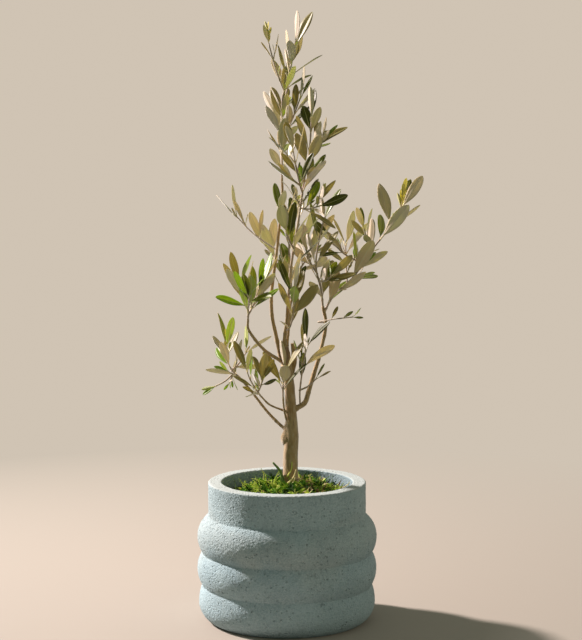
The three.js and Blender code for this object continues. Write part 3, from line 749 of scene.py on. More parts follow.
def concrete_material():
    """Dense blue-grey concrete: soft patches, faint upright streaks, fine grain and pits of three sizes."""
    paint = Paint("concrete", CONCRETE["dull"], 0.9)
    paint.patch(CONCRETE["light"], 30, 4, 0.55)
    paint.cover(paint.noise(6, 3, 0.6, upright=0.16), 0.45, 0.8, 0.35, CONCRETE["streak"])
    grain = paint.noise(1.6, 2, 0.75)
    paint.cover(grain, 0.5, 0.7, 0.6, CONCRETE["grain"])
    paint.cover(grain, 0.48, 0.32, 0.5, CONCRETE["speck"])
    height = paint.ranged(grain, 0.32, 0.68, 0, 0.7)
    for pitch, least, widest, slope, dark, depth in PITS:
        cells = paint.node("TexVoronoi", {"Vector": paint.space(), "Scale": 1 / (pitch * MM)})
        chance = paint.node("SeparateColor", {"Color": cells["Color"]})["Red"]
        reach = paint.ranged(chance, least, 1, 0, widest)
        shaded_pit = paint.ranged(paint.calc("SUBTRACT", reach, cells["Distance"]), 0, slope)
        # partly the concrete's own dark specks, partly painted shade in the pits
        paint.cover(shaded_pit, 0, 1, dark, CONCRETE["shaded_pit"])
        height = paint.calc("ADD", height, paint.calc("MULTIPLY", shaded_pit, -depth))
    upright = paint.node("SeparateXYZ", {"Vector": paint.space()})["Z"]
    drift = TINT_EDGES["drift"] * MM
    level = paint.calc("ADD", upright, paint.ranged(paint.noise(60), 0.3, 0.7, -drift, drift))
    low, band_foot, band_top = [paint.ranged(level, *(edge * MM for edge in TINT_EDGES[key]))
                                for key in ("low", "band_foot", "band_top")]
    paint.cover(low, 0, 1, 1, LOW_TINT, "MULTIPLY")
    paint.cover(paint.calc("MULTIPLY", band_foot, band_top), 0, 1, 1, BAND_TINT, "MULTIPLY")
    # painted light: the rounded top of the rim is painted paler and warmer, as if lit, and its bump is calmer
    # there
    painted_rim_light = paint.ranged(upright, (POT_HEIGHT - RIM_ROUNDING) * MM, (POT_HEIGHT - 0.2) * MM)
    paint.cover(painted_rim_light, 0, 1, 0.75, CONCRETE["painted_rim_light"])
    # painted shade: the inside of the planter is painted darker and bluer than its outside
    paint.cover(paint.from_axis(), (MOUTH_RADIUS + 0.6) * MM, MOUTH_RADIUS * MM, 0.85, CONCRETE["inside"])
    calm = paint.ranged(painted_rim_light, 0, 1, 1, 0.4)
    return paint.finish(paint.calc("MULTIPLY", height, calm), 0.62, 1.0)


# each kind of bark: the two colours of its patches, its pale ridges and its dark furrows
BARKS = {
    "bark": ((0.315, 0.20, 0.068), (0.395, 0.275, 0.115), (0.47, 0.375, 0.23), (0.15, 0.093, 0.042)),
    "bark_torn": ((0.23, 0.13, 0.065), (0.31, 0.19, 0.105), (0.42, 0.30, 0.19), (0.09, 0.05, 0.03)),
}
BARK_SHEEN = 0.65


def bark_material(name):
    dark, light, ridge, furrow = BARKS[name]
    paint = Paint(name, dark, 0.85, Sheen_Weight=BARK_SHEEN, Specular_IOR_Level=0.2)
    fissures = paint.noise(1.7, 4, 0.65, upright=0.22)
    fine = paint.noise(0.7, 2, 0.6)
    paint.patch(light, 16)
    paint.cover(fissures, 0.52, 0.72, 0.75, ridge)
    paint.cover(fissures, 0.46, 0.3, 0.7, furrow)
    paint.cover(fine, 0.6, 0.8, 0.4, ridge)
    return paint.finish(paint.calc("ADD", fissures, fine), 0.35, 0.8)


def twig_material():
    paint = Paint("twig", (0.34, 0.24, 0.155), 0.7, Sheen_Weight=BARK_SHEEN)
    fine = paint.noise(0.8, 2, 0.6)
    paint.patch((0.46, 0.37, 0.25), 9)
    paint.cover(fine, 0.58, 0.8, 0.5, (0.56, 0.49, 0.37))
    return paint.finish(fine, 0.15, 0.7)


def leaf_material(name, reflected, passed, share, roughness, gloss, **sockets):
    """One skin of a leaf: it reflects one plain colour and lets a share of the light through in another."""
    body = tuple(channel / (1 - share) for channel in reflected)
    paint = Paint(name, body, roughness, Specular_IOR_Level=gloss, **sockets)
    return paint.with_shader(share, paint.node("BsdfTranslucent", {"Color": (*passed, 1)}))


def soil_material():
    paint = Paint("soil", (0.018, 0.012, 0.008), 0.95, Specular_IOR_Level=0.2)
    clods = paint.noise(3, 4, 0.7)
    paint.cover(clods, 0.3, 0.7, 1, (0.075, 0.05, 0.032))
    return paint.finish(clods, 0.8, 0.9)


# painted shade: the dark ground under the moss is coloured as the shade in the gaps between the strands
def moss_shaded_ground_material():
    paint = Paint("moss_shaded_ground", (0.025, 0.02, 0.010), 0.95, Specular_IOR_Level=0.1)
    paint.patch((0.035, 0.075, 0.010), 9, 4, 0.6)
    return paint.finish(paint.noise(1.2, 4, 0.7), 0.8, 0.9)


# Planter

ARC_STEPS = 18
LIP_STEPS = 6
POT_SIDES = 420
POT_SPACING = 1.15
# where the flat underside and the floor inside have a ring of points each
UNDERSIDE_RING = 40
INSIDE_RING = 30
# the inner wall has fine points down to this depth under the rim
SEEN_DEPTH = 22
POT_LUMPS = ((22, 0.28, (0, 0, 0)), (3.1, 0.07, (7, 3, 1)), (1.4, 0.34, (2, 9, 4)))
# the relief has its full height from here, and starts inside the planter at this height
RELIEF_FULL = 6
RELIEF_INSIDE = 100


def spaced(profile, spacing):
    """The profile with more points, no two further apart than the spacing."""
    points = [profile[0]]
    for (r0, z0), (r1, z1) in zip(profile, profile[1:]):
        count = max(1, ceil(hypot(r1 - r0, z1 - z0) / spacing))
        points.extend((r0 + (r1 - r0) * k / count, z0 + (z1 - z0) * k / count) for k in range(1, count + 1))
    return points


def band_arc(widest, edge):
    """Half a band: an arc from its widest place, where it is upright, to its edge."""
    (radius, middle), (edge_radius, edge_height) = widest, edge
    depth = radius - edge_radius
    reach = edge_height - middle
    arc_radius = (reach * reach + depth * depth) / (2 * depth)
    sweep = asin(reach / arc_radius)
    angles = [sweep * (step / ARC_STEPS) for step in range(ARC_STEPS + 1)]
    return [(radius - arc_radius * (1 - cos(a)), middle + arc_radius * sin(a)) for a in angles]


def pot_profile():
    outside = []
    for low, widest, high in BANDS:
        outside += band_arc(widest, low)[:0:-1] + band_arc(widest, high)[:-1]
    turns = [radians(90 / LIP_STEPS * k) for k in range(LIP_STEPS + 1)]
    bends = [(RIM_ROUNDING * (1 - cos(a)), RIM_ROUNDING * (1 - sin(a))) for a in turns]
    outer_lip = [(RIM_RADIUS - inwards, POT_HEIGHT - down) for inwards, down in bends]
    inner_lip = [(MOUTH_RADIUS + outwards, POT_HEIGHT - down) for down, outwards in bends]
    hidden_edge = (MOUTH_RADIUS - WALL_SLOPE * SEEN_DEPTH, POT_HEIGHT - RIM_ROUNDING - SEEN_DEPTH)
    visible = spaced([*outside, (RIM_RADIUS, COLLAR_FOOT), *outer_lip, *inner_lip, hidden_edge], POT_SPACING)
    floor = [(radius, INSIDE_FLOOR) for radius in (INSIDE_FLOOR_RADIUS, INSIDE_RING, 0)]
    return [(0, 0), (UNDERSIDE_RING, 0), *visible, *floor]


def pot_relief(x, y, z):
    """Unevenness of the wall, which fades towards the flat underside."""
    if z < 1 or (hypot(x, y) < MOUTH_RADIUS - 0.5 and z < RELIEF_INSIDE):
        return 0
    return min(1, z / RELIEF_FULL) * lumps(Vector((x, y, z)), POT_LUMPS)


def make_pot():
    mesh = mesh_of("pot_surface", *lathe(pot_profile(), POT_SIDES, pot_relief))
    weld(mesh)
    link_piece(mesh, [concrete_material()], ["pot"])


# Soil and moss

SOIL = {"rings": 56, "sides": 280, "crumbs": 520, "crumb_reach": 63, "crumb_radii": (0.6, 0.8, 0.9, 1.2, 1.7)}
SOIL_LUMPS = ((9, 1.1, (0, 0, 0)), (2.6, 0.7, (5, 5, 0)))
SOIL_EDGE = {"radius": 65, "fade": 3}
CRUMB = {"sides": 6, "levels": 4, "squash": (0.6, 1), "play": (0.75, 1.2), "lift": 0.3, "seed": 5}
MOSS_CENTRE = (3.5, 0)
MOSS_REACH = 58
MOSS_RINGS = 44
MOSS_SIDES = 200
MOSS_HOLE = 6
TUFTS = ((8, 1, (2, 9, 4)),)
# the factor of the cushion's height without tufts, and what tufts add to it as a share and in millimetres
TUFT_FORM = {"plain": 1.05, "share": 0.5, "height": 2}
MOSS_LUMPS = ((3.4, 1.6, (6, 1, 8)),)
# how far the dark ground lies under the top of the cushion, and how rough it is. Its dark colour is painted
# shade in the gaps between the strands
GROUND = {"depth": 2.2, "sunk": 0.6, "roughness": 0.9, "pitch": 1.9}


def crumb(shape, centre, radius, chance):
    """A small uneven lump."""
    rings = []
    squash = chance.uniform(*CRUMB["squash"])
    spin = chance.uniform(0, 360)
    for level in range(1, CRUMB["levels"]):
        tilt = pi * level / CRUMB["levels"]
        ring = []
        for side in range(CRUMB["sides"]):
            angle = radians(360 / CRUMB["sides"] * side + spin)
            reach = radius * chance.uniform(*CRUMB["play"])
            out = (*on_circle(reach * sin(tilt), angle), -reach * squash * cos(tilt))
            ring.append(add(centre, out))
        rings.append(ring)
    top = (0, 0, radius * squash)
    shape.loft(rings, [0] * CRUMB["sides"], foot=sub(centre, top), tip=add(centre, top))


def soil_relief(x, y, z):
    """Lumps of the top of the soil, which fade towards the wall."""
    if z < SOIL_TOP - 0.1:
        return 0
    edge = min(1, (SOIL_EDGE["radius"] - hypot(x, y)) / SOIL_EDGE["fade"])
    return max(0, edge) * lumps(Vector((x, y, 0)), SOIL_LUMPS)


def make_soil():
    top_radius = INSIDE_FLOOR_RADIUS + WALL_SLOPE * (SOIL_TOP - INSIDE_FLOOR) - CLEARANCE
    foot = INSIDE_FLOOR + CLEARANCE
    profile = [(0, foot), (INSIDE_FLOOR_RADIUS - CLEARANCE, foot)]
    profile += [(top_radius * (1 - k / SOIL["rings"]), SOIL_TOP) for k in range(SOIL["rings"] + 1)]
    points, quads = lathe(profile, SOIL["sides"], soil_relief)
    shape = Shape()
    shape.add(points, quads, [0] * len(quads))
    chance = random.Random(CRUMB["seed"])
    for _ in range(SOIL["crumbs"]):
        reach = SOIL["crumb_reach"] * sqrt(chance.random())
        x, y = on_circle(reach, chance.uniform(0, 2 * pi))
        radius = chance.choice(SOIL["crumb_radii"])
        height = SOIL_TOP + soil_relief(x, y, SOIL_TOP) + radius * CRUMB["lift"]
        crumb(shape, (x, y, height), radius, chance)
    mesh = shape.mesh("soil_surface")
    weld(mesh)
    link_piece(mesh, [soil_material()], ["soil"])


def moss_height(x, y):
    """How high the cushion stands over the soil."""
    height = float(np.interp(hypot(x - MOSS_CENTRE[0], y - MOSS_CENTRE[1]), *zip(*MOSS_PROFILE)))
    spot = Vector((x, y, 0))
    tufts = lumps(spot, TUFTS)
    grown = height * (TUFT_FORM["plain"] + TUFT_FORM["share"] * tufts)
    return grown + TUFT_FORM["height"] * tufts + lumps(spot, MOSS_LUMPS)


def make_moss_shaded_ground():
    """The dark ground between the sprigs, round the foot of the trunk, whose colour is painted shade."""
    points = []
    for ring in range(MOSS_RINGS + 1):
        reach = MOSS_HOLE + (MOSS_REACH - MOSS_HOLE) * ring / MOSS_RINGS
        for side in range(MOSS_SIDES):
            right, back = on_circle(reach, 2 * pi * side / MOSS_SIDES)
            x, y = MOSS_CENTRE[0] + right, MOSS_CENTRE[1] + back
            rough = GROUND["roughness"] * noise.noise(Vector((x, y, 3)) / GROUND["pitch"])
            height = max(0, moss_height(x, y) - GROUND["depth"] + rough)
            points.append((x, y, SOIL_TOP - GROUND["sunk"] + height))
    quads = ring_quads(MOSS_RINGS + 1, MOSS_SIDES)[:, [0, 3, 2, 1]].tolist()
    link_piece(mesh_of("moss_shaded_ground", points, quads), [moss_shaded_ground_material()], ["moss"])


# Colours of the moss, and two kinds of strands. length, lean, droop and leaf are ranges, and shares tells how
# the colours are dealt out at each of the zones, which are places from the left to the right
# and the darkest green is painted shade in the gaps between them
# the moss's own greens, straw and brown; the brightest yellow green is partly painted light on the strands,
GREENS = [(0.60, 0.66, 0.15), (0.36, 0.50, 0.05), (0.12, 0.28, 0.02), (0.03, 0.075, 0.010),
          (0.55, 0.47, 0.22), (0.20, 0.14, 0.055)]
ZONES = (-35, 0, 30)
SPRIGS = {
    # the shorter, fuller strands take the most of the darkest green, as painted shade in the gaps
    "moss_sprigs_a": {"seed": 41, "count": 520, "length": (7, 12), "lean": (2, 55), "droop": (1, 13),
                      "sweep": 14, "leaf": (2.2, 3.8), "spread": 0.75, "stem": 0.55,
                      "shares": ((0.12, 0.30, 0.33, 0.21, 0.02, 0.02), (0.06, 0.20, 0.42, 0.30, 0.01, 0.01),
                                 (0.05, 0.16, 0.21, 0.27, 0.08, 0.23))},
    "moss_sprigs_b": {"seed": 42, "count": 380, "length": (10, 19), "lean": (10, 72), "droop": (3, 20),
                      "sweep": 24, "leaf": (1.6, 2.6), "spread": 0.5, "stem": 0.72,
                      "shares": ((0.42, 0.40, 0.14, 0.02, 0.02, 0), (0.25, 0.45, 0.28, 0.01, 0.01, 0),
                                 (0.22, 0.28, 0.18, 0.08, 0.14, 0.10))},
}
SPRIG_POINTS = 8
SPRIG_SIDES = 3
SPRIG_TURN = 2.4
SPRIG_DEPTH = 2.6
SPRIG_TAPER = (1, 0.4)
SPRIG_LEAF_SIZES = (1.1, 0.6)
# the share of the cushion's area that is left bare at its centre, and the share that strands stand on
SPRIG_AREA = {"inside": 0.02, "grown": 0.96}
# strands stand clear of the trunk, and inside the wall
SPRIG_ROOM = {"trunk": 7.5, "wall": 63}
SPRIG_LEAF = {"half_width": 0.27, "widest": 0.45, "cupping": 0.08}
# the factor of a strand's length at each distance from the centre
SHORTER = ((0, 30, 58), (1.2, 0.95, 0.6))
# the share of strands that grow, from the left edge inwards
SPARSE = ((-56, -50, -42), (0.12, 0.2, 1))
# how far apart the clumps of one colour stand, and how much their edges mix
CLUMP = 4.5
CLUMP_PLAY = 0.3


def sprig_feet(kind, rng):
    """Where strands stand, and how far from the centre of the moss."""
    count = kind["count"]
    reach = MOSS_REACH * np.sqrt(rng.random(count) * SPRIG_AREA["grown"] + SPRIG_AREA["inside"])
    angle = rng.random(count) * 2 * pi
    x = MOSS_CENTRE[0] + reach * np.cos(angle)
    y = MOSS_CENTRE[1] + reach * np.sin(angle)
    clear = (np.hypot(x, y) < SPRIG_ROOM["wall"]) & (reach > SPRIG_ROOM["trunk"])
    keep = clear & (rng.random(count) < np.interp(x, *SPARSE))
    return x[keep], y[keep], reach[keep]


def sprig_lines(kind, rng, x, y, reach):
    """The lines of curved stems, with their headings and two directions square to each."""
    count = len(x)
    turn = rng.random(count) * 2 * pi
    lean, droop = [np.radians(rng.uniform(*kind[key], count)) for key in ("lean", "droop")]
    sweep = np.radians(rng.uniform(-kind["sweep"], kind["sweep"], count))
    length = rng.uniform(*kind["length"], count) * np.interp(reach, *SHORTER)
    step = length / (SPRIG_POINTS - 1)
    ground = np.array([moss_height(*spot) for spot in zip(x.tolist(), y.tolist())]) + SOIL_TOP - SPRIG_DEPTH
    line, headings = [np.stack([x, y, ground], axis=-1)], []
    for k in range(SPRIG_POINTS):
        tilt = lean + droop * k
        way = turn + sweep * k
        flat = np.sin(tilt)
        headings.append(np.stack([flat * np.cos(way), flat * np.sin(way), np.cos(tilt)], axis=-1))
        line.append(line[-1] + headings[-1] * step[:, None])
    line, headings = np.stack(line[:-1], axis=1), np.stack(headings, axis=1)
    level = np.stack([-np.sin(turn), np.cos(turn), np.zeros(count)], axis=-1)[:, None, :]
    level = np.broadcast_to(level, headings.shape)
    return line, headings, level, np.cross(headings, level)


def along_sprig(first, last, points):
    return np.linspace(first, last, points)[None, :, None]


def sprig_points(kind, rng, line, headings, level, over):
    """The points of three-sided stems, and of the small leaves that stand round them."""
    count = len(line)
    radius = kind["stem"] * along_sprig(*SPRIG_TAPER, SPRIG_POINTS)
    around = [2 * pi * side / SPRIG_SIDES for side in range(SPRIG_SIDES)]
    stems = np.stack([line + radius * (level * cos(a) + over * sin(a)) for a in around], axis=2)
    leaf_size = rng.uniform(*kind["leaf"], (count, 1, 1)) * along_sprig(*SPRIG_LEAF_SIZES, SPRIG_POINTS - 1)
    at, along_stem = line[:, 1:], headings[:, 1:]
    leaves = []
    for row in around:
        spin = SPRIG_TURN * along_sprig(1, SPRIG_POINTS - 1, SPRIG_POINTS - 1) + row
        out = level[:, 1:] * np.cos(spin) + over[:, 1:] * np.sin(spin)
        way = along_stem * sqrt(1 - kind["spread"] ** 2) + out * kind["spread"]
        half = np.cross(along_stem, out) * SPRIG_LEAF["half_width"] * leaf_size
        middle = at + way * leaf_size * SPRIG_LEAF["widest"] + out * leaf_size * SPRIG_LEAF["cupping"]
        leaves.append(np.stack([at, middle - half, at + way * leaf_size, middle + half], axis=2))
    return stems.reshape(count, -1, 3), np.concatenate(leaves, axis=1).reshape(count, -1, 3)


def sprig_paint(kind, rng, x, y):
    """The number of each strand's colour, in clumps, by the shares of its zone."""
    shares = np.stack([np.interp(x, ZONES, by_zone) for by_zone in zip(*kind["shares"])], axis=-1)
    clump = np.array([noise.noise(Vector((a, b, 0)) / CLUMP) for a, b in zip(x, y)])
    rank = (clump + CLUMP_PLAY * rng.random(len(x))).argsort().argsort() / len(x)
    return (rank[:, None] > np.cumsum(shares, axis=-1)).sum(axis=-1).clip(0, len(GREENS) - 1)


def make_sprigs(name, kind):
    """Strands of moss: curved stems with small leaves all round, grown over the cushion."""
    rng = np.random.default_rng(kind["seed"])
    x, y, reach = sprig_feet(kind, rng)
    stems, leaves = sprig_points(kind, rng, *sprig_lines(kind, rng, x, y, reach))
    leaf_quads = stems.shape[1] + np.arange(leaves.shape[1]).reshape(-1, 4)
    quads = np.concatenate([ring_quads(SPRIG_POINTS, SPRIG_SIDES), leaf_quads])
    own = np.concatenate([stems, leaves], axis=1)
    all_quads = (quads[None] + (np.arange(len(x)) * own.shape[1])[:, None, None]).reshape(-1, 4)
    paint = np.repeat(sprig_paint(kind, rng, x, y), len(quads))
    materials = [Paint(f"{name}_{index}", colour, 0.7, Specular_IOR_Level=0.12).material
                 for index, colour in enumerate(GREENS)]
    mesh = mesh_of(name, own.reshape(-1, 3), all_quads.tolist(), paint.tolist())
    link_piece(mesh, materials, ["moss"])


# single strands over the moss: their foot, tip, thickness and colour
STRAND_COLOURS = {"straw": (0.66, 0.58, 0.24), "green": (0.11, 0.20, 0.03), "yellow": (0.56, 0.62, 0.10)}
STRANDS = [
    ((1, -16, 141), (9, -13, 154), 0.8, "straw"), ((2, -19, 138), (8, -18, 147), 0.75, "straw"),
    ((0, -9, 146), (5, -8, 161), 0.8, "yellow"), ((-4, -5, 138), (-14, -7, 160), 1.9, "green"),
    ((-24, 6, 138), (-26, 5, 152), 0.5, "yellow"), ((-44, 2, 132), (-49, 0, 143), 0.45, "yellow"),
    ((-52, -6, 127), (-55, -6, 146), 0.4, "green"), ((53, 6, 131), (63.5, 9, 137), 0.5, "straw"),
    ((50, 14, 130), (62.5, 12, 135), 0.4, "straw"), ((56, -4, 128), (62, -8, 142), 0.4, "green"),
    ((28, 4, 136), (30, 3, 150), 0.45, "green"), ((17, -42, 133), (25, -38, 139), 0.65, "straw"),
    ((14, -30, 134), (22, -38, 141), 0.45, "straw"), ((42, 0, 134), (45, -3, 147), 0.4, "green"),
]
STRAND_BEND = 0.13
BEND_SIDE = 30
STRAND_TAPER = 0.5
STRAND_SIDES = 6


def make_strands():
    shape = Shape()
    kinds = list(STRAND_COLOURS)
    for foot, tip, radius, kind in STRANDS:
        run = sub(tip, foot)
        middle = add(mix(foot, tip, 0.5), scale(side_of(unit(run), BEND_SIDE), STRAND_BEND * size(run)))
        radii = (radius, radius * STRAND_TAPER)
        shape.tube(smooth([foot, middle, tip], 5), taper(radii), STRAND_SIDES, kinds.index(kind), 0.3)
    materials = [Paint(f"strand_{kind}", colour, 0.75).material for kind, colour in STRAND_COLOURS.items()]
    link_piece(shape.mesh("moss_strands"), materials, ["moss"])


# Wood

WOOD_VOXEL = 0.45
WOOD_EASING = 3
TRUNK_SIDES = 48
BOUGH_SIDES = 16
# the points from one knot of a line to the next
WOOD_STEPS = {"trunk": 30, "stub": 16, "swelling": 6, "bough": 14}
# how the torn end of the stub varies its radius, as shares of its raggedness
STUB_TEAR = {"seed": 3, "least": -0.5, "most": 0.7}
COLLAR = {"reach": 13, "swell": 0.75}
SCAR = {"spacing": 16, "half": 1.6, "swell": 0.14}
# the angle whose cosine a swelling starts and ends with
SWELLING_END = 86
TORN = {"centre": Vector((-2.5, -2.5, 269)), "reach": (6.5, 6, 13), "depth": 0.75, "raggedness": 0.35,
        "pitch": 2.6, "sharpness": 3}
TRUNK_ROOM = {"centre": 2.5, "radius": 10, "top": 285}
# the heights and pitches of the relief of the bark, its share on the boughs, and how far up it is in full
RELIEF = {"furrow": 0.12, "lump": 0.3, "pimple": 0.4}
LUMP_PITCH = 8
PIMPLE_PITCH = 1.3
FURROW = (2.4, 2.4, 11)
SPLINTER = (1.2, 1.2, 3.2)
PIMPLE_LEAST = 0.35
BOUGH_RELIEF = 0.4
SMOOTH_FOOT = 3


def trunk_radius(share, degrees):
    row = min(int(share * (len(TRUNK_RADII) - 1)), len(TRUNK_RADII) - 2)
    part = share * (len(TRUNK_RADII) - 1) - row
    radius = TRUNK_RADII[row] * (1 - part) + TRUNK_RADII[row + 1] * part
    fade = max(0, 1 - share / FLARE["share"]) ** 2
    lobe = 1 + FLARE["lobe_depth"] * cos(radians(FLARE["lobes"] * degrees))
    return radius * (1 + FLARE["swell"] * fade * lobe)


def bough_radius(line, radii):
    """A taper with a collar at the foot and a slight ring at each old leaf scar."""
    length = sum(spans_of(line))
    plain = taper(radii)

    def radius_at(share, degrees):
        gone = share * length
        collar = max(0, 1 - gone / COLLAR["reach"]) ** 2
        to_scar = abs((gone + SCAR["spacing"] / 2) % SCAR["spacing"] - SCAR["spacing"] / 2)
        scar = max(0, 1 - to_scar / SCAR["half"])
        return plain(share, degrees) * (1 + COLLAR["swell"] * collar + SCAR["swell"] * scar)

    return radius_at


def swelling_radius(radius, widest, fullness):
    def radius_at(share, degrees):
        off = (widest - share) / widest if share < widest else (share - widest) / (1 - widest)
        return radius * cos(radians(SWELLING_END * off)) ** fullness

    return radius_at


def stub_radius():
    """A taper whose end is torn unevenly."""
    chance = random.Random(STUB_TEAR["seed"])
    torn = [chance.uniform(STUB_TEAR["least"], STUB_TEAR["most"]) for _ in range(BOUGH_SIDES)]
    plain = taper(STUB["radii"])
    return lambda share, degrees: plain(share, degrees) * (
        1 + STUB["raggedness"] * torn[int(degrees / 360 * BOUGH_SIDES)] * share)


def remeshed(shape):
    """One even skin round all the tubes of a shape, eased where they meet."""
    holder = link("wood_raw", shape.mesh("wood_raw"))
    remesh = holder.modifiers.new("remesh", "REMESH")
    remesh.mode = "VOXEL"
    remesh.voxel_size = WOOD_VOXEL * MM
    ease = holder.modifiers.new("smooth", "SMOOTH")
    ease.factor = 0.5
    ease.iterations = WOOD_EASING
    bpy.context.view_layer.update()
    graph = bpy.context.evaluated_depsgraph_get()
    result = bpy.data.meshes.new_from_object(holder.evaluated_get(graph))
    result.name = "wood"
    bpy.data.objects.remove(holder)
    return result


def torn_share(point):
    """How much of the ragged wood at the fork there is at a point, from 0 to 1."""
    away = divided(point - TORN["centre"], TORN["reach"]).length
    ragged = TORN["raggedness"] * noise.noise(point / TORN["pitch"])
    return max(0, min(1, TORN["sharpness"] * (1 - away + ragged)))


def bark_relief(point):
    """How far the bark stands out: upright furrows, lumps, pimples and splinters, with less on the boughs."""
    off = hypot(point.x - TRUNK_ROOM["centre"], point.y)
    on_trunk = off < TRUNK_ROOM["radius"] and point.z < TRUNK_ROOM["top"]
    furrow = noise.noise(divided(point, FURROW))
    lump = noise.noise(point / LUMP_PITCH + Vector((3, 3, 3)))
    pimple = max(0, noise.noise(point / PIMPLE_PITCH + Vector((9, 1, 4))) - PIMPLE_LEAST)
    torn = TORN["depth"] * torn_share(point) * noise.noise(divided(point, SPLINTER))
    plain = RELIEF["furrow"] * furrow + RELIEF["lump"] * lump + RELIEF["pimple"] * pimple
    return plain * (1 if on_trunk else BOUGH_RELIEF) + torn


def make_wood():
    shape = Shape()
    shape.tube(smooth(TRUNK_LINE, WOOD_STEPS["trunk"]), trunk_radius, TRUNK_SIDES, tip_round=1.5)
    shape.tube(smooth(STUB["line"], WOOD_STEPS["stub"]), stub_radius(), BOUGH_SIDES)
    for line, *form in SWELLINGS:
        shape.tube(smooth(line, WOOD_STEPS["swelling"]), swelling_radius(*form), BOUGH_SIDES)
    for knots, radii in BOUGHS.values():
        line = smooth(knots, WOOD_STEPS["bough"])
        shape.tube(line, bough_radius(line, radii), BOUGH_SIDES, tip_round=0.6)
    mesh = remeshed(shape)
    moved = []
    for vertex in mesh.vertices:
        point = vertex.co / MM
        grown = max(0, min(1, (point.z - TRUNK_BASE) / SMOOTH_FOOT))
        moved.extend((point + vertex.normal * bark_relief(point) * grown) * MM)
    mesh.vertices.foreach_set("co", moved)
    mesh.update()
    mesh.polygons.foreach_set("use_smooth", [True] * len(mesh.polygons))
    middles = [face.center / MM for face in mesh.polygons]
    mesh.polygons.foreach_set("material_index", [int(torn_share(middle) > 0.5) for middle in middles])
    link_piece(mesh, [bark_material(name) for name in BARKS], ["trunk", *BOUGHS])


TWIG_SIDES = 8
SPUR_SIDES = 6
TWIG_STEP = 1.6
TWIG_ROOT = 1.2
PAIR_SWELL = {"half": 1.8, "swell": 0.3}


def shoot_radius(shoot, line):
    """A taper that swells a little where each pair of leaves stands."""
    length = sum(spans_of(line))
    plain = taper(shoot["radii"])

    def radius_at(share, degrees):
        nearest = min(abs(share - axil["share"]) for axil in shoot["axils"]) * length
        swell = PAIR_SWELL["swell"] * max(0, 1 - nearest / PAIR_SWELL["half"])
        return plain(share, degrees) * (1 + swell)

    return radius_at


def make_twigs(masses):
    shape = Shape()
    for mass in masses:
        for shoot in mass["shoots"]:
            knots = shoot["knots"]
            steps = max(6, round(size(sub(knots[-1], knots[0])) / (len(knots) - 1) / TWIG_STEP))
            line = smooth(knots, steps)
            line.insert(0, sub(line[0], scale(heading_at(line, 0), TWIG_ROOT)))
            shape.tube(line, shoot_radius(shoot, line), TWIG_SIDES, tip_round=0.6)
        for spur in mass["spurs"]:
            shape.tube([mix(*spur, k / 4) for k in range(5)], taper(SPUR_RADII), SPUR_SIDES, tip_round=0.3)
        for shootlet in mass["shootlets"]:
            line = [mix(*shootlet, k / 3) for k in range(4)]
            shape.tube(line, taper(SHOOTLET["radii"]), SPUR_SIDES, tip_round=0.2)
    link_piece(shape.mesh("twigs"), [twig_material()], list(MASSES))


# Leaves

BLADE_STATIONS = [0.09, 0.13, 0.18, 0.25, 0.33, 0.42, 0.52, 0.62, 0.71, 0.79, 0.86, 0.92, 0.96, 0.985, 0.996]
SMALL_STATIONS = [0.09, 0.18, 0.33, 0.52, 0.71, 0.86, 0.94, 0.985]
WIDEST = 0.6
FOOT_TAPER = 1.1
TIP_TAPER = 0.64
BLUNTNESS = (1.75, 2.7)
# the length from which a leaf has its full thickness
FULL_LENGTH = 26
CURL = 14
SWAY = 0.025
CURLED_FROM = 0.3
FOLD = 0.2
FOLD_PLAY = (0.3, 1.3)
MARGIN_ROLL = 0.5
ROLLED_FROM = 0.6
WAVE = {"start": 6.28, "height": 0.05, "pace": 9, "lag": 2}
THICKNESS = 0.42
THINNER_EDGE = 0.55
LEAST_BODY = 0.35
LEAST_HALF = 0.35
UNDER_WIDTH = 0.985
# the lines along a blade, as shares of its half width
BLADE_LINES = (0.34, 0.68, 1)
RIB_HALF = 0.42
RIB_WIDTH = 1.15
RIB_TAPER = 0.8
RIB_SHARE = 0.3
RIB_DEPTH = 0.16
RIB_STAND = 0.34
RIB_FADE = 1.1
# a line of the blade that lies no further out than this share of the rib is on the rib
ON_RIB = 1.01
STALK_STATIONS = (0.05, 0.1, 0.16)
STALK_DEPTH = 0.28
STALK = {"least": 0.1, "foot": 0.62, "end": 0.4, "sides": 6}
BLADE_SEED = 21
# each kind of skin: the colour it reflects, and the colour and share of the light that it lets through
OLIVE_LIGHT = (0.86, 0.81, 0.36)
PALE_LIGHT = (0.90, 0.76, 0.25)
GREEN_LIGHT = (0.58, 0.78, 0.04)
FRESH_LIGHT = (0.68, 0.88, 0.08)
YOUNG_LIGHT = (0.90, 0.85, 0.28)
TOPS = {
    "deep": ((0.034, 0.040, 0.002), GREEN_LIGHT, 0.11),
    "green": ((0.058, 0.080, 0.004), GREEN_LIGHT, 0.22),
    "olive": ((0.120, 0.108, 0.028), OLIVE_LIGHT, 0.2),
    "grey": ((0.20, 0.185, 0.095), OLIVE_LIGHT, 0.25),
    "fresh": ((0.082, 0.15, 0.006), FRESH_LIGHT, 0.28),
    "young": ((0.34, 0.30, 0.07), YOUNG_LIGHT, 0.34),
}
UNDERS = {
    "pale": ((0.675, 0.56, 0.43), PALE_LIGHT, 0.34),
    "olive": ((0.585, 0.462, 0.28), PALE_LIGHT, 0.34),
    "sage": ((0.48, 0.395, 0.25), OLIVE_LIGHT, 0.34),
    "fresh": ((0.34, 0.36, 0.085), FRESH_LIGHT, 0.40),
    "young": ((0.38, 0.36, 0.10), YOUNG_LIGHT, 0.36),
}
RIBS = {
    "top": ((0.26, 0.28, 0.12), OLIVE_LIGHT, 0.2),
    "under": ((0.62, 0.55, 0.36), OLIVE_LIGHT, 0.2),
    "young": ((0.50, 0.46, 0.14), YOUNG_LIGHT, 0.2),
}
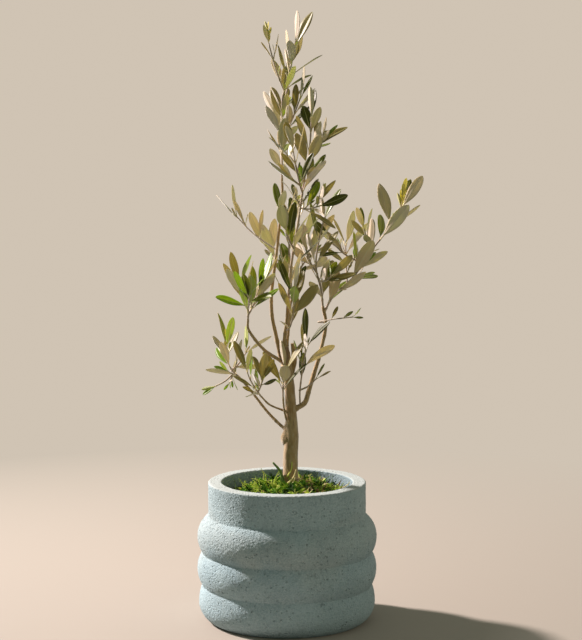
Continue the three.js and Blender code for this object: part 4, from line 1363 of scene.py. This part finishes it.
# the kinds, roughness and gloss of the skins, and the down on the undersides
SKINS = {"top": (TOPS, 0.42, 0.26, {}),
         "under": (UNDERS, 0.65, 0.2, {"Sheen_Weight": 0.85, "Sheen_Tint": (0.84, 0.92, 1.0, 1)}),
         "rib": (RIBS, 0.55, 0.3, {})}
USUAL_TOPS = {"deep": 0.36, "green": 0.26, "olive": 0.24, "grey": 0.08, "fresh": 0.06}
USUAL_UNDERS = {"pale": 0.45, "olive": 0.33, "sage": 0.22}
# the share of fresh green leaves in a mass, where it isn't the usual one
FRESH_MASSES = {"leaves_left_cluster": 0.65, "leaves_left_low": 0.45, "leaves_left_twin": 0.45,
                "leaves_right_long": 0.2, "leaves_crown_centre": 0.15}
USUAL_FRESHNESS = 0.06
YOUNG_SHARE = 0.35
PAINT_SEEDS = {"leaves_crown_left": 2157, "leaves_crown_centre": 3872, "leaves_right_long": 1154,
               "leaves_right_inner": 569, "leaves_left_thin": 12, "leaves_left_cluster": 3700,
               "leaves_left_low": 3319, "leaves_left_twin": 3568, "leaves_front": 325,
               "leaves_centre_front": 1303, "leaves_inner_right": 429, "leaves_right_low": 1,
               "leaves_back": 801}


def pick(chance, shares):
    return chance.choices(list(shares), list(shares.values()))[0]


def leaf_tints(tints, freshness):
    """The kinds of the two skins of a mass's next leaf."""
    if tints.random() < freshness:
        return "fresh", "fresh"
    return pick(tints, USUAL_TOPS), pick(tints, USUAL_UNDERS)


def blade_width(share, blunt):
    """The half width of a blade that narrows to its stalk and has a rounded tip."""
    if share < WIDEST:
        return sin(pi / 2 * max(0, share - PETIOLE) / (WIDEST - PETIOLE)) ** FOOT_TAPER
    return (1 - ((share - WIDEST) / (1 - WIDEST)) ** blunt) ** TIP_TAPER


def blade(shape, leaf, stations, paints, chance):
    """A leathery blade on a stalk. Its midrib is sunk on top and raised underneath, its edges roll down."""
    curl = radians(chance.uniform(-CURL, CURL))
    sway = chance.uniform(-SWAY, SWAY) * leaf["length"]
    fold = FOLD * chance.uniform(*FOLD_PLAY)
    wave = chance.uniform(0, WAVE["start"])
    blunt = chance.uniform(*BLUNTNESS)
    small = min(1, leaf["length"] / FULL_LENGTH)
    rings = []
    for share in stations:
        heading = unit(add(leaf["dir"], scale(leaf["up"], 2 * leaf["bend"] * share)))
        up = unit(sub(leaf["up"], scale(heading, dot(leaf["up"], heading))))
        across = cross(heading, up)
        past = max(0, share - CURLED_FROM)
        spine = add(on_leaf(leaf, share, 0), scale(across, sway * past * past * 2))
        angle = curl * past
        across, up = (turned(across, up, angle),
                      sub(scale(up, cos(angle)), scale(across, sin(angle))))
        half = max(LEAST_HALF, leaf["width"] / 2 * blade_width(share, blunt))
        rib = min(RIB_HALF * small * (RIB_WIDTH - RIB_TAPER * share), half * RIB_SHARE)
        edges = [*(-edge for edge in reversed(BLADE_LINES)), -rib / half, rib / half, *BLADE_LINES]
        body = min(1, half / 2)
        full = LEAST_BODY + (1 - LEAST_BODY) * body
        top, under = [], []
        for edge in edges:
            rolled = MARGIN_ROLL * half * max(0, abs(edge) - ROLLED_FROM) ** 2
            phase = wave + WAVE["pace"] * share + (WAVE["lag"] if edge > 0 else 0)
            lift = fold * half * abs(edge) - rolled + WAVE["height"] * half * sin(phase) * edge * edge
            on_rib = abs(edge) * half < rib * ON_RIB
            groove = RIB_DEPTH * small * body if on_rib else 0
            stand = RIB_STAND * small * (RIB_FADE - share) * body if on_rib else 0
            thick = THICKNESS * small * (1 - THINNER_EDGE * abs(edge)) * full
            top.append(add(spine, add(scale(across, edge * half), scale(up, lift - groove))))
            off = scale(across, edge * half * UNDER_WIDTH)
            under.append(add(spine, add(off, scale(up, lift - thick - stand))))
        rings.append(top + under[::-1])
    top_paint, under_paint, top_rib, under_rib = paints
    by_side = [top_paint] * 3 + [top_rib] + [top_paint] * 3
    by_side += [under_paint] * 4 + [under_rib] + [under_paint] * 4
    shape.loft(rings, by_side, tip=on_leaf(leaf, 1, 0))
    sink = -ROOT_DEPTH / leaf["length"]
    down = scale(leaf["up"], STALK_DEPTH * small)
    stalk = [sub(on_leaf(leaf, share, 0), down) for share in (sink, *STALK_STATIONS)]
    radii = (STALK["foot"] * small + STALK["least"], STALK["end"] * small)
    shape.tube(stalk, taper(radii), STALK["sides"], under_rib)


def make_leaves(masses):
    number, materials = {}, []
    for skin, (kinds, roughness, gloss, down) in SKINS.items():
        for kind, colours in kinds.items():
            number[skin, kind] = len(materials)
            materials.append(leaf_material(f"leaf_{skin}_{kind}", *colours, roughness, gloss, **down))
    ribs = (number["rib", "top"], number["rib", "under"])
    young_ribs = (number["rib", "young"],) * 2
    chance = random.Random(BLADE_SEED)
    large, little = Shape(), Shape()
    for mass in masses:
        tints = random.Random(PAINT_SEEDS[mass["name"]])
        freshness = FRESH_MASSES.get(mass["name"], USUAL_FRESHNESS)
        for leaf in mass["leaves"]:
            top, under = leaf_tints(tints, freshness)
            blade(large, leaf, BLADE_STATIONS, (number["top", top], number["under", under], *ribs), chance)
        for leaf in mass["small"]:
            kind = pick(tints, {"fresh": freshness, "young": YOUNG_SHARE, "green": 1 - freshness})
            under = "olive" if kind == "green" else kind
            paints = (number["top", kind], number["under", under], *young_ribs)
            blade(little, leaf, SMALL_STATIONS, paints, chance)
        young = (number["top", "young"], number["under", "young"], *young_ribs)
        for leaf in mass["young"]:
            blade(little, leaf, SMALL_STATIONS, young, chance)
    link_piece(large.mesh("leaves"), materials, list(MASSES))
    link_piece(little.mesh("small_leaves"), materials, list(MASSES))


# Floor and backdrop

TABLE_RINGS = (0, 100, 200, 330)
FLOOR_RINGS = (330, 600, 1000, 1600, 2600)
FLOOR_SIDES = 96
COVE = 800
COVE_STEPS = 12
WALL_TOP = 4200
FLOOR_COLOUR = (0.33, 0.30, 0.255)
FADE = (200, 1000)
WALL_COLOUR = (0.63, 0.55, 0.455)


def make_stage():
    """A pale floor that fades with distance into an evenly lit wall. Only its part round the planter throws
    light back."""
    paint = Paint("studio", FLOOR_COLOUR, 0.9)
    away = paint.ranged(paint.from_axis(), *(reach * MM for reach in FADE))
    material = paint.with_shader(away, paint.node("Emission", {"Color": (*WALL_COLOUR, 1), "Strength": 1.0}))
    table, profile = ([(radius, 0) for radius in rings] for rings in (TABLE_RINGS, FLOOR_RINGS))
    for step in range(1, COVE_STEPS + 1):
        forward, up = on_circle(COVE, radians(90 / COVE_STEPS * step - 90))
        profile.append((FLOOR_RINGS[-1] + forward, COVE + up))
    profile.append((FLOOR_RINGS[-1] + COVE, WALL_TOP))
    for name, rings in (("table", table), ("studio", profile)):
        points, quads = lathe(rings, FLOOR_SIDES)
        mesh = mesh_of(name, points, [quad[::-1] for quad in quads])
        weld(mesh)
        mesh.materials.append(material)
        floor = link(name, mesh)
        floor.visible_diffuse = name == "table"
        floor.visible_shadow = False


# Light and camera, in metres and watts

KEY = {"place": (-2.09, 1.15, 1.79), "target": (0, 0, 0.25), "width": 0.25, "watts": 250,
       "colour": (1.0, 0.86, 0.83)}
BOUNCE = {"place": (1.8, -0.6, 0.8), "target": (0, 0, 0.2), "width": 1.2, "watts": 4.8,
          "colour": (1.0, 0.82, 0.62)}
AIR_COLOUR = (0.87, 0.99, 0.84)
AIR_STRENGTH = 0.235
LENS = {"lens": 102.43, "sensor_width": 36, "clip_end": 50}
CAMERA_PLACE = (0.00395, -1.8, 0.488)
CAMERA_TILT = 84.11


def area_light(name, place, target, width, watts, colour):
    light = bpy.data.lights.new(name, "AREA")
    light.shape = "DISK"
    light.size = width
    light.energy = watts
    light.color = colour
    lamp = link(name, light)
    lamp.location = place
    lamp.rotation_euler = (Vector(target) - Vector(place)).to_track_quat("-Z", "Y").to_euler()


def make_air():
    world = bpy.data.worlds.new("studio_air")
    bpy.context.scene.world = world
    world.use_nodes = True
    background = world.node_tree.nodes["Background"]
    background.inputs["Color"].default_value = (*AIR_COLOUR, 1)
    background.inputs["Strength"].default_value = AIR_STRENGTH


def make_camera():
    lens = bpy.data.cameras.new("camera")
    for key, value in LENS.items():
        setattr(lens, key, value)
    camera = link("camera", lens)
    camera.location = CAMERA_PLACE
    camera.rotation_euler = (radians(CAMERA_TILT), 0, 0)
    bpy.context.scene.camera = camera


# The plant and its surroundings

crown = Crown()
masses = grow_masses(crown)
grow_shootlets(masses, crown)
make_pot()
make_soil()
make_moss_shaded_ground()
for name, kind in SPRIGS.items():
    make_sprigs(name, kind)
make_strands()
make_wood()
make_twigs(masses)
make_leaves(masses)
make_stage()
area_light("key", **KEY)
area_light("bounce", **BOUNCE)
make_air()
make_camera()
bpy.context.scene.view_settings.view_transform = "Standard"
